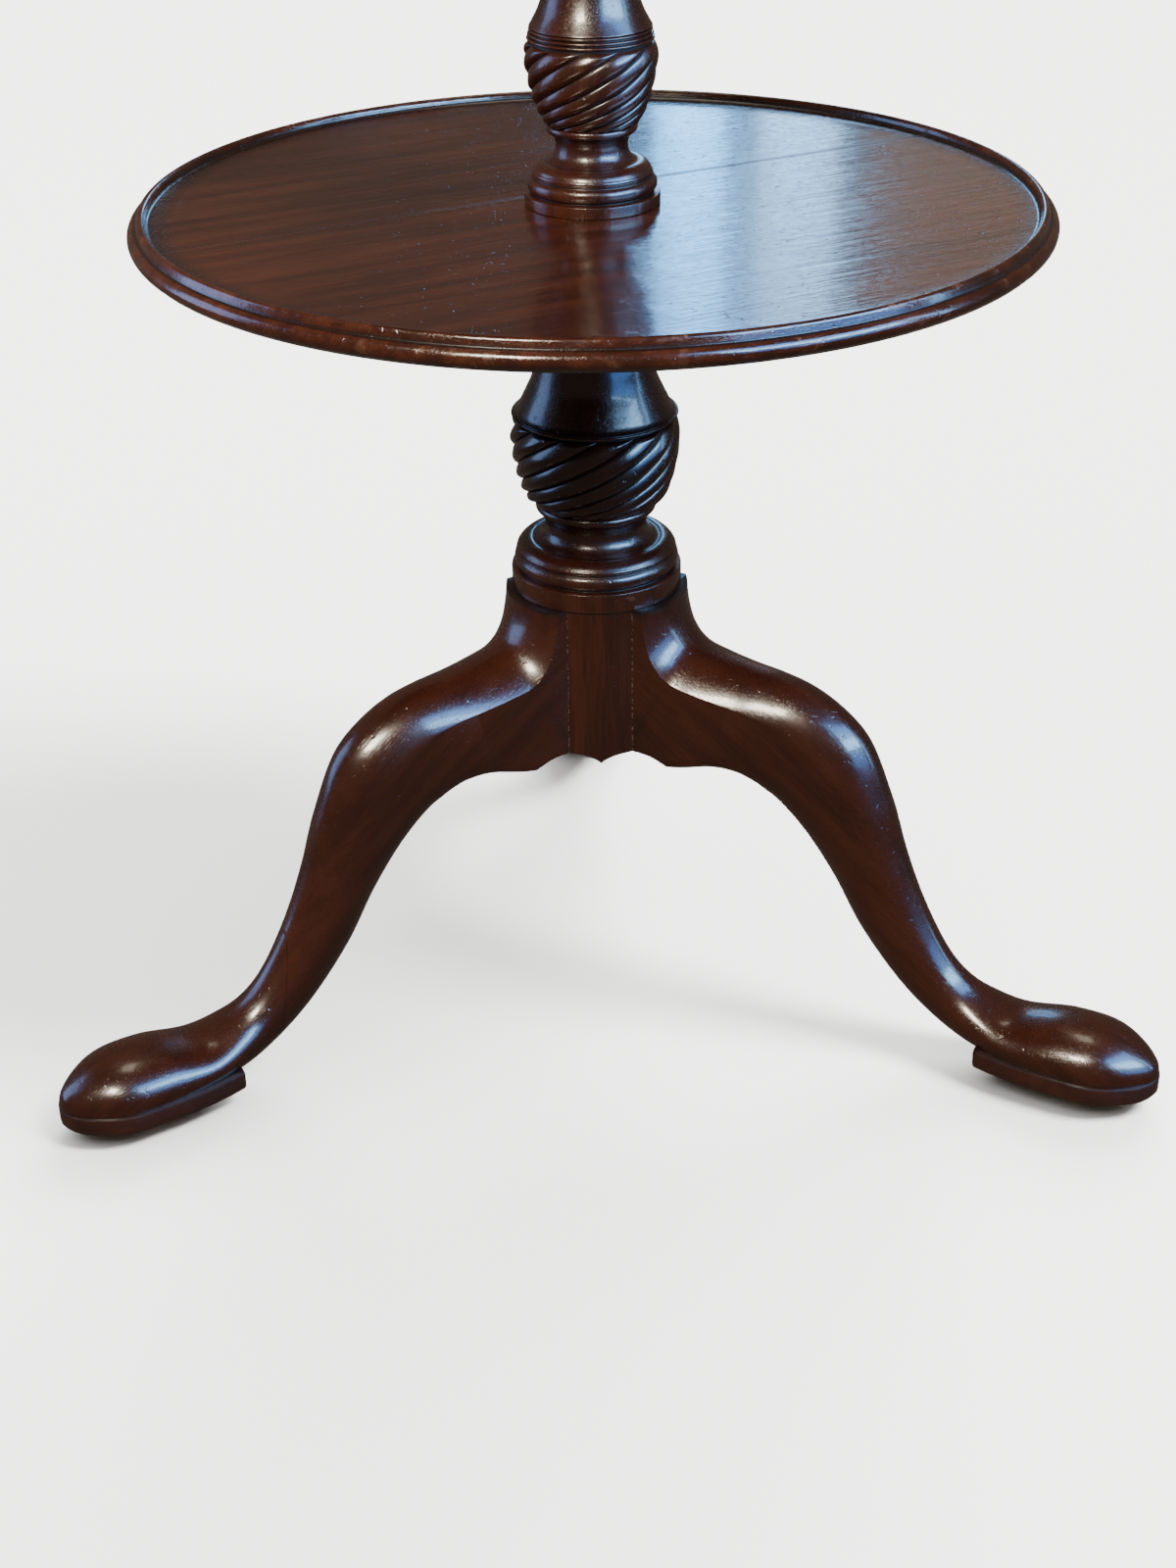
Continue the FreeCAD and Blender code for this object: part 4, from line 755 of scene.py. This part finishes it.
def make_base_pillar():
    """The lowest pillar with the block that the legs are dovetailed into."""
    under = [(radius, BLOCK_BOTTOM) for radius in BLOCK_RINGS]
    side = [(BLOCK_RADIUS, BLOCK_BOTTOM + (BLOCK_TOP - BLOCK_BOTTOM) * share) for share in BLOCK_SIDE_SHARES]
    start = [(BLOCK_RADIUS, BLOCK_TOP), (PILLARS["lower"]["plinth"][0], BLOCK_TOP)]
    line, first, last = pillar_line(PILLARS["lower"], BLOCK_TOP, BASE_SHOULDER, start, BASE_SPIGOT,
                                    BASE_SPIGOT_TOP)
    line = under + side + line[1:]
    extra = len(under) + len(side) - 1

    def shift(radius, height, angle):
        if height >= BLOCK_TOP:
            return height
        low = cusp_height(radius * math.cos(angle), radius * math.sin(angle))
        return low + (height - BLOCK_BOTTOM) * (BLOCK_TOP - low) / (BLOCK_TOP - BLOCK_BOTTOM)

    turned_pillar("pillar_base", "lower", line, first + extra, last + extra, shift)


def make_upper_pillar(kind, bottom, shoulder, socket, socket_top, spigot, spigot_top):
    """A pillar that is bored from below for the spigot of the one under it."""
    start = [(0.0, socket_top), (socket, socket_top), (socket, bottom), (PILLARS[kind]["plinth"][0], bottom)]
    line, first, last = pillar_line(PILLARS[kind], bottom, shoulder, start, spigot, spigot_top)
    turned_pillar(f"pillar_{kind}", kind, line, first, last)


make_base_pillar()
make_upper_pillar("middle", bottom=544.2, shoulder=803.8, socket=13.0, socket_top=580.8, spigot=11.0,
                  spigot_top=864.0)
make_upper_pillar("top", bottom=832.2, shoulder=1055.8, socket=11.0, socket_top=864.8, spigot=9.5,
                  spigot_top=1074.2)


# Trays

RIM_HEIGHT, RIM_WIDTH, FLOOR_THICKNESS = 18.0, 14.0, 12.0
# Radius, height of the underside and radius of the bore
TRAYS = {"lower": (280.0, 532.0, 13.06), "middle": (225.0, 820.0, 11.06), "top": (175.0, 1078.0, 0.0)}
# The rim from below over its crest: share of its width in from the edge, share of its height and bulge
RIM_SHARES = [(0.30, 0.0, 0), (0.23, 0.07, 0), (0.23, 0.62, 0.31), (0.40, 0.66, -0.08), (0.45, 0.86, 0),
              (0.77, 0.905, 0.33), (0.82, 0.83, 0)]
TRAY_COLUMNS = 384
TRAY_STEP = 14.0
BOARD_GAP = 0.00012


def tray_line(radius, bottom, bore):
    """Outline of a dished tray, from the bore's lower edge out round the rim and back over the floor."""
    floor = bottom + FLOOR_THICKNESS
    rim = [(radius - RIM_WIDTH * inward, bottom + RIM_HEIGHT * share, bulge)
           for inward, share, bulge in RIM_SHARES]
    points = [(bore, bottom)] + rim + [(radius - RIM_WIDTH, floor, -0.2), (bore, floor)]
    return fill_in(soften(expand(points, arc_step=0.8), 0.5), TRAY_STEP)


def make_tray(kind):
    """A whole tray, closed round its bore if it has one."""
    radius, bottom, bore = TRAYS[kind]
    wood = tray_wood if kind == "lower" else upper_tray_wood
    line = tray_line(radius, bottom, bore)
    # How hollow the outline lies sets its painted shade, and how proud it lies sets its rubbing
    values = hollows(line)
    if bore:
        line.append(line[0])
        values.append(values[0])
    return lathe(f"{kind}_tray_whole", line, TRAY_COLUMNS, wood, values)


def make_trays():
    """The lowest tray in two boards that meet at the seam, and the upper trays in one board each."""
    whole = make_tray("lower")
    boards = {"lower_tray_front_board": (whole, 1.0),
              "lower_tray_back_board": (copy_object(whole, "lower_tray_back"), -1.0)}
    for node, (board, side) in boards.items():
        slice_mesh(board, seam_normal * (SEAM_OFFSET * MM - side * BOARD_GAP), seam_normal * side)
        finish_mesh(board, tray_wood, 35)
        board.name = f"{node}_dressed"
        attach(board, "lower_tray")
        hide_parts(node)
    for kind in ("middle", "top"):
        board = make_tray(kind)
        board.name = f"{kind}_tray_board_dressed"
        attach(board, f"{kind}_tray")
        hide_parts(f"{kind}_tray_board")


make_trays()


# Legs

# Reach and height of the upper line and of the lower line, half width, depth of the arris below the upper
# line, then the fullness of the round above the arris (two exponents) and of the part below it
LEG_STATIONS = [
    (60.0, 299.9, 6.1, 299.9, 33.0, 11, 2.2, 1.0, 3.0),
    (61.2, 284.0, 6.1, 262.0, 33.0, 11, 2.2, 1.0, 4.0),
    (66.5, 270.5, 13.0, 222.0, 33.0, 14, 2.2, 1.0, 6.0),
    (76.2, 262.2, 34.9, 184.6, 32.9, 17, 2.2, 1.0, 18.0),
    (90.8, 258.1, 66.1, 182.8, 32.1, 17, 2.2, 1.0, 24.0),
    (111.9, 254.6, 98.0, 188.3, 29.8, 18, 2.2, 1.05, 12.0),
    (132.2, 252.0, 113.5, 186.4, 28.5, 20, 2.2, 1.15, 7.5),
    (152.9, 247.0, 123.2, 181.5, 27.5, 23, 2.2, 1.35, 5.4),
    (174.4, 236.7, 131.6, 175.4, 26.7, 28, 2.1, 1.6, 4.2),
    (193.8, 220.5, 138.3, 169.6, 26.0, 33, 2.0, 1.85, 3.3),
    (213.3, 179.6, 157.3, 150.5, 24.5, 31, 2.0, 2.0, 2.6),
    (225.5, 143.2, 177.6, 120.8, 22.0, 26.4, 2.0, 2.0, 2.1),
    (240.5, 108.5, 199.5, 83.5, 19.5, 24.0, 2.0, 2.0, 2.0),
    (260.7, 74.7, 231.1, 47.3, 18.0, 20.2, 2.0, 2.0, 2.0),
    (276.1, 60.0, 257.9, 27.9, 19.5, 18.4, 2.0, 2.0, 2.0),
    (290.3, 52.3, 279.8, 19.7, 24.0, 17.1, 2.0, 2.0, 2.0),
    (309.4, 46.5, 306.6, 16.5, 29.0, 15.1, 2.0, 2.0, 2.2),
    (342.6, 52.0, 341.4, 7.9, 33.0, 22.1, 2.1, 2.1, 2.2),
    (373.1, 50.9, 370.6, 6.8, 31.0, 22.1, 2.1, 2.1, 2.2),
    (392.1, 42.9, 389.3, 11.2, 21.5, 15.9, 2.1, 2.1, 2.2),
    (403.1, 34.1, 401.9, 17.6, 9.9, 8.3, 2.1, 2.1, 2.2),
    (405.5, 27.9, 405.1, 22.1, 3.6, 2.9, 2.1, 2.1, 2.2),
]
LEG_RING = 72
LEG_STEPS = 9
LEG_SHARP_DEGREES = 30
ARRIS_SPREAD = 0.9
SOLE = 25.0
CROWN = 294.0
# The crown slopes outward from this far out, in metres, along a plane with this outward and upward normal
CROWN_BREAK = 0.050
CROWN_NORMAL = (0.26, 0.966)
ARCH_TOP = 200.0
# Painted shade where the leg meets the block and its pad: how far it reaches, and how strong it is
JOINT_SHADE_REACH, JOINT_SHADE = 3.0, 0.7
SOLE_SHADE_REACH, SOLE_SHADE = 1.5, 0.8
# Above this height the leg's crown is painted in full shade
CROWN_SHADE_BOTTOM = 291.5


def tangent(a, b, c, before, after):
    """The slope at the middle one of three values that stand these spans apart."""
    return (b - a) / before - (c - a) / (before + after) + (c - b) / after


def smooth_stations(stations, steps):
    """Stations in between, by a curve through the given ones."""
    out = []
    last = len(stations) - 1
    for index in range(last):
        p0, p1 = stations[max(index - 1, 0)], stations[index]
        p2, p3 = stations[index + 1], stations[min(index + 2, last)]
        before, span, after = [max(math.dist(a[:2], b[:2]) + math.dist(a[2:4], b[2:4]), TINY) ** 0.5
                               for a, b in ((p0, p1), (p1, p2), (p2, p3))]
        for step in range(steps):
            t = step / steps
            row = []
            for a, b, c, d in zip(p0, p1, p2, p3):
                slope_1 = tangent(a, b, c, before, span) * span if index > 0 else c - b
                slope_2 = tangent(b, c, d, span, after) * span if index < last - 1 else c - b
                row.append(hermite(t, b, slope_1, c, slope_2))
            out.append(row)
    out.append(list(stations[-1]))
    return out


def section_ring(station):
    """Points round a section, from the arris over the upper line and back under the lower line."""
    top_r, top_z, low_r, low_z, width, arris, power, inverse, under = station
    top, low = Vector((top_r, top_z)), Vector((low_r, low_z))
    down = low - top
    below = down.length - arris
    down.normalize()
    centre = top + down * arris
    points = []
    for step in range(LEG_RING):
        angle = 2 * math.pi * step / LEG_RING
        across, up = math.cos(angle), math.sin(angle)
        if up >= 0:
            share = math.copysign(1 - (1 - abs(across)) ** ARRIS_SPREAD, across)
            lift = arris * max(0.0, 1 - abs(share) ** power) ** (1 / inverse)
            points.append((centre - down * lift, share * width))
        else:
            share = math.copysign(abs(across) ** (2 / under), across)
            drop = below * abs(up) ** (2 / under)
            points.append((centre + down * drop, share * width))
    return points


def leg_hollow(x, y, z):
    """How much painted shade a point of a leg gets, by the joints that it lies near and on its crown."""
    joint = max(0.0, 1 - abs(math.hypot(x, y) - BLOCK_RADIUS) / JOINT_SHADE_REACH) * JOINT_SHADE
    sole = max(0.0, 1 - abs(z - SOLE) / SOLE_SHADE_REACH) * SOLE_SHADE
    crown = 1.0 if z > CROWN_SHADE_BOTTOM else 0.0
    return max(joint, sole, crown)


def leg_mesh(name, side, wood):
    """One leg with its foot, from the dovetailed shoulder to the toe."""
    verts, hollow = [], []
    rows = smooth_stations(LEG_STATIONS, LEG_STEPS)
    turn = math.radians(LEG_AZIMUTHS[side])
    for row in rows:
        for point, aside in section_ring(row):
            x, y = turn_point(point.x, aside, turn)
            z = point.y
            arch = cusp_height(x, y)
            if z < ARCH_TOP and arch > BLOCK_BOTTOM + 0.05:
                z = max(z, arch)
            verts.append((x, y, z))
            hollow.append(leg_hollow(x, y, z))
    faces = ring_faces(len(rows), LEG_RING)
    faces.append(list(range(LEG_RING)))
    faces.append([(len(rows) - 1) * LEG_RING + step for step in range(LEG_RING)])
    thing = make_object(name, verts, faces, wood, hollow)
    up, crown = Vector((0, 0, 1)), Vector((0, 0, CROWN * MM))
    slice_mesh(thing, Vector((0, 0, SOLE * MM)), -up)
    slice_mesh(thing, crown, up)
    out = direction(LEG_AZIMUTHS[side], 0.0)
    slice_mesh(thing, out * CROWN_BREAK + crown, out * CROWN_NORMAL[0] + up * CROWN_NORMAL[1])
    return thing


# Reach and height where the scarf joint of the left foot leaves the leg above and below
SCARF_TOP = (246.0, 92.0)
SCARF_FOOT = (262.0, 25.0)
SCARF_GAP = 0.0001


def splice_foot(leg, wood, azimuth):
    """Part the left foot from its leg along the scarf joint."""
    turn = math.radians(azimuth)
    fall = Vector((SCARF_FOOT[0] - SCARF_TOP[0], SCARF_FOOT[1] - SCARF_TOP[1])).normalized()
    outward = Vector((-fall.y * math.cos(turn), -fall.y * math.sin(turn), fall.x))
    point = Vector((SCARF_TOP[0] * math.cos(turn), SCARF_TOP[0] * math.sin(turn), SCARF_TOP[1])) * MM
    foot = copy_object(leg, "left_foot_carved")
    slit = outward * SCARF_GAP
    slice_mesh(leg, point - slit, outward)
    slice_mesh(foot, point + slit, -outward)
    finish_mesh(foot, wood, LEG_SHARP_DEGREES)
    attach(foot, "base")
    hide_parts("left_foot_splice")


def make_legs():
    for side, azimuth in LEG_AZIMUTHS.items():
        wood = leg_woods[side]
        leg = leg_mesh(f"leg_{side}_carved", side, wood)
        if side == "left":
            splice_foot(leg, wood, azimuth)
        finish_mesh(leg, wood, LEG_SHARP_DEGREES)
        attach(leg, "base")
        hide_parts(f"leg_{side}")


make_legs()


# Foot pads

PAD_OUTLINE = [(290.0, 27.5), (290.0, -27.5, 0.04), (352.0, -34.5, 0.04), (390.15, -24.15, 0.1),
               (406.5, 0.0, 0.12), (390.15, 24.15, 0.12), (352.0, 34.5, 0.1), (290.0, 27.5, 0.04)]
PAD_BOTTOM = 12.0
CASTOR_REACH = 349.0
RECESS_RADIUS = 22.5
# The pad from its top edge down and in under it: inset, height and painted shade, which is rubbing where it
# is negative
PAD_EDGE = [(0.7, SOLE, 0.6), (0.2, SOLE - 0.25, 0.4), (0.0, SOLE - 0.9, 0.0), (0.0, PAD_BOTTOM + 4.2, -0.1),
            (0.35, PAD_BOTTOM + 2.0, -0.5), (1.1, PAD_BOTTOM + 0.7, -0.3), (2.4, PAD_BOTTOM + 0.05, 0.2),
            (5.0, PAD_BOTTOM, 0.4)]
# The castor's recess from its mouth up: radius, height and painted shade
RECESS_EDGE = [(RECESS_RADIUS + 0.8, PAD_BOTTOM, 0.5), (RECESS_RADIUS, PAD_BOTTOM + 0.8, 0.7),
               (RECESS_RADIUS, SOLE, 1.0)]


def make_pad(side):
    """The shaped pad under a foot, with the round recess that hides the castor."""
    outline = fill_in(soften(expand(PAD_OUTLINE, arc_step=1.5), 2.5, 30), 1.5)[:-1]
    turn = math.radians(LEG_AZIMUTHS[side])
    count = len(outline)
    angles = [math.atan2(y, x - CASTOR_REACH) for x, y in outline]
    reaches = [math.hypot(x - CASTOR_REACH, y) for x, y in outline]
    rings = [([reach - inset for reach in reaches], z, shade_and_rub) for inset, z, shade_and_rub in PAD_EDGE]
    rings += [([radius] * count, z, shade_and_rub) for radius, z, shade_and_rub in RECESS_EDGE]
    verts, hollow = [], []
    for radii, z, shade_and_rub in rings:
        for radius, angle in zip(radii, angles):
            x, y = turn_point(CASTOR_REACH + radius * math.cos(angle), radius * math.sin(angle), turn)
            verts.append((x, y, z))
            hollow.append(shade_and_rub)
    faces = ring_faces(len(rings), count, closed=True)
    pad = make_object(f"foot_pad_{side}_dressed", verts, faces, pad_wood, hollow)
    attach(pad, "base")
    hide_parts(f"foot_pad_{side}")


for pad_side in LEG_AZIMUTHS:
    make_pad(pad_side)


# Pieces that keep the shape of their solids

def dress(node, material):
    """Give a solid its dressed material."""
    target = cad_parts[node]
    target.data.materials.clear()
    target.data.materials.append(material)


for kept_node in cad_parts:
    if kept_node.endswith("_screws"):
        dress(kept_node, screw_iron)
    elif kept_node.startswith("castor_"):
        dress(kept_node, brass)
    elif kept_node == "spider_plate":
        dress(kept_node, iron)
    elif kept_node.endswith("_bearer"):
        dress(kept_node, pillar_wood)


# Floor, light and camera

FLOOR_REACH = 60.0
FLOOR_COLOR = (0.80, 0.80, 0.785, 1.0)
WORLD_COLOR = (0.150, 0.118, 0.098, 1.0)


def plain_floor():
    """A wide matt floor that neither mirrors in the table nor tints it."""
    mesh = bpy.data.meshes.new("floor")
    size = FLOOR_REACH
    corners = [(-size, -size, 0), (size, -size, 0), (size, size, 0), (-size, size, 0)]
    mesh.from_pydata(corners, [], [(0, 1, 2, 3)])
    floor = bpy.data.objects.new("floor", mesh)
    bpy.context.scene.collection.objects.link(floor)
    tree = Tree("floor_paint")
    tree.put(tree.surface, "Base Color", FLOOR_COLOR)
    tree.put(tree.surface, "Roughness", 0.9)
    tree.put(tree.surface, "Specular IOR Level", 0.0)
    mesh.materials.append(tree.material)
    floor.visible_glossy = False
    floor.visible_diffuse = False
    return floor


def add_lamp(name, data, place, target):
    """A lamp that faces a target and isn't seen itself."""
    lamp = bpy.data.objects.new(name, data)
    lamp.location = place
    lamp.rotation_mode = "QUATERNION"
    lamp.rotation_quaternion = (Vector(target) - Vector(place)).to_track_quat("-Z", "Y")
    lamp.visible_camera = False
    bpy.context.scene.collection.objects.link(lamp)
    return lamp


def area_light(name, place, target, size, radiance, color=(1.0, 1.0, 1.0)):
    """A rectangular light at a place in metres that faces a target."""
    data = bpy.data.lights.new(name, "AREA")
    data.shape = "RECTANGLE"
    data.size, data.size_y = size
    data.energy = radiance * math.pi * size[0] * size[1]
    data.color = color
    return add_lamp(name, data, place, target)


PANEL_TARGET = Vector((0.0, 0.0, 0.35))


def panel(name, azimuth, elevation, spread, radiance, color, distance=3.0):
    """A lit panel seen from the table in a direction, as wide and high as the spread in degrees."""
    size = [2 * distance * math.tan(math.radians(angle / 2)) for angle in spread]
    place = PANEL_TARGET + direction(azimuth, elevation) * distance
    return area_light(name, place, PANEL_TARGET, size, radiance, color)


def make_world():
    """A dim warm room all round."""
    world = bpy.data.worlds.new("studio")
    bpy.context.scene.world = world
    world.use_nodes = True
    world.node_tree.nodes["Background"].inputs["Color"].default_value = WORLD_COLOR
    world.node_tree.nodes["Background"].inputs["Strength"].default_value = 1.0


WARM, CREAM = (1.0, 0.90, 0.72), (1.0, 0.96, 0.92)
# What the lowest tray mirrors from behind it: place to the right, width, radiance and colour
BEHIND_LIGHTS = [
    ("window_behind_left", 0.278, 0.130, 13.5, (0.16, 0.50, 1.0)),
    ("window_behind_right", 0.480, 0.150, 7.8, (0.30, 0.61, 1.0)),
    ("wall_behind", 0.79, 0.36, 0.40, (1.0, 0.80, 0.70)),
]
BEHIND_DISTANCE, BEHIND_HEIGHT, BEHIND_TALL = 3.0, 1.36, 0.95
BEHIND_TARGET = (0.1, 0.0, 0.55)
# Panels that only gleam in the polish: azimuth, elevation, spread, radiance and colour
GLEAM_PANELS = [
    ("window_right_high", -38.0, 43.0, (42.0, 12.0), 17.0, (0.14, 0.40, 1.0)),
    ("window_right", -38.0, 29.5, (42.0, 14.0), 36.0, (0.30, 0.62, 1.0)),
    ("window_right_low", -38.0, 13.0, (42.0, 14.0), 8.0, (0.10, 0.36, 1.0)),
    ("window_right_far", -6.0, 24.0, (5.0, 44.0), 16.0, (0.26, 0.55, 1.0)),
    ("window_left", 168.0, 14.0, (26.0, 34.0), 4.5, (0.3, 0.5, 1.0)),
    ("ceiling", 90.0, 74.0, (24.0, 16.0), 7.0, WARM),
]
LAMP_PANEL = ("lamp", -115.0, 42.0, (12.0, 12.0), 115.0, WARM, 2.4)
# Panels that light the wood without a gleam
FILL_PANELS = [
    ("fill_right", -40.0, 30.0, (30.0, 30.0), 4.0, CREAM),
    ("fill_above", 90.0, 80.0, (36.0, 36.0), 2.5, CREAM),
]
# Soft suns for the floor: azimuth, elevation, width in degrees and power
FLOOR_SUNS = [("floor_key", -16.0, 56.0, 22.0, 10.0), ("floor_back", 72.0, 34.0, 40.0, 8.0)]


def light_table():
    """Two panes of a window behind the tray, a wide window on the right, a lamp and softer panels."""
    lights = []
    for name, across, wide, radiance, color in BEHIND_LIGHTS:
        place = (across, BEHIND_DISTANCE, BEHIND_HEIGHT)
        lights.append(area_light(name, place, BEHIND_TARGET, (wide, BEHIND_TALL), radiance, color))
    lights += [panel(*row) for row in GLEAM_PANELS]
    for light in lights:
        light.visible_diffuse = False
    lights.append(panel(*LAMP_PANEL))
    for row in FILL_PANELS:
        lights.append(panel(*row))
        lights[-1].visible_glossy = False
    return lights


def link_light(lamp, floor, only):
    """Let a lamp light only the floor, or all but the floor."""
    group = bpy.data.collections.new(f"{lamp.name}_lit")
    group.objects.link(floor)
    lamp.light_linking.receiver_collection = group
    if not only:
        group.collection_objects[0].light_linking.link_state = "EXCLUDE"


def light_floor():
    """A broad light overhead and two soft suns, for the floor alone."""
    lamps = [area_light("floor_above", (0.0, 0.8, 4.0), (0.0, 0.8, 0.0), (10.0, 10.0), 2.4)]
    for name, azimuth, elevation, wide, power in FLOOR_SUNS:
        data = bpy.data.lights.new(name, "SUN")
        data.energy = power
        data.angle = math.radians(wide)
        lamps.append(add_lamp(name, data, direction(azimuth, elevation) * 3.0, (0.0, 0.0, 0.0)))
    return lamps


CAMERA_TURN = 1.5
CAMERA_PITCH = 29.273
CAMERA_ROLL = -0.794
CAMERA_PLACE = (-7.6, -1418.6, 933.8)
CAMERA_LENS = 54.0
CAMERA_LONG_SIDE = 36.0


def make_camera():
    """The photograph's view: a 54 mm lens on a 36 mm long side, from in front and above."""
    pitch, roll = math.radians(CAMERA_PITCH), math.radians(CAMERA_ROLL)
    forward = Vector((0.0, math.cos(pitch), -math.sin(pitch)))
    right = Vector((1.0, 0.0, 0.0))
    up = right.cross(forward)
    leant_right = right * math.cos(roll) + up * math.sin(roll)
    leant_up = up * math.cos(roll) - right * math.sin(roll)
    axes = Matrix((leant_right, leant_up, -forward)).transposed().to_4x4()
    turn = Matrix.Rotation(math.radians(-CAMERA_TURN), 4, "Z")
    data = bpy.data.cameras.new("camera")
    data.lens = CAMERA_LENS
    data.sensor_width = CAMERA_LONG_SIDE
    camera = bpy.data.objects.new("camera", data)
    camera.matrix_world = turn @ Matrix.Translation(Vector(CAMERA_PLACE) * MM) @ axes
    bpy.context.scene.collection.objects.link(camera)
    bpy.context.scene.camera = camera


stage_floor = plain_floor()
make_world()
for table_light in light_table():
    link_light(table_light, stage_floor, False)
for floor_light in light_floor():
    link_light(floor_light, stage_floor, True)
make_camera()
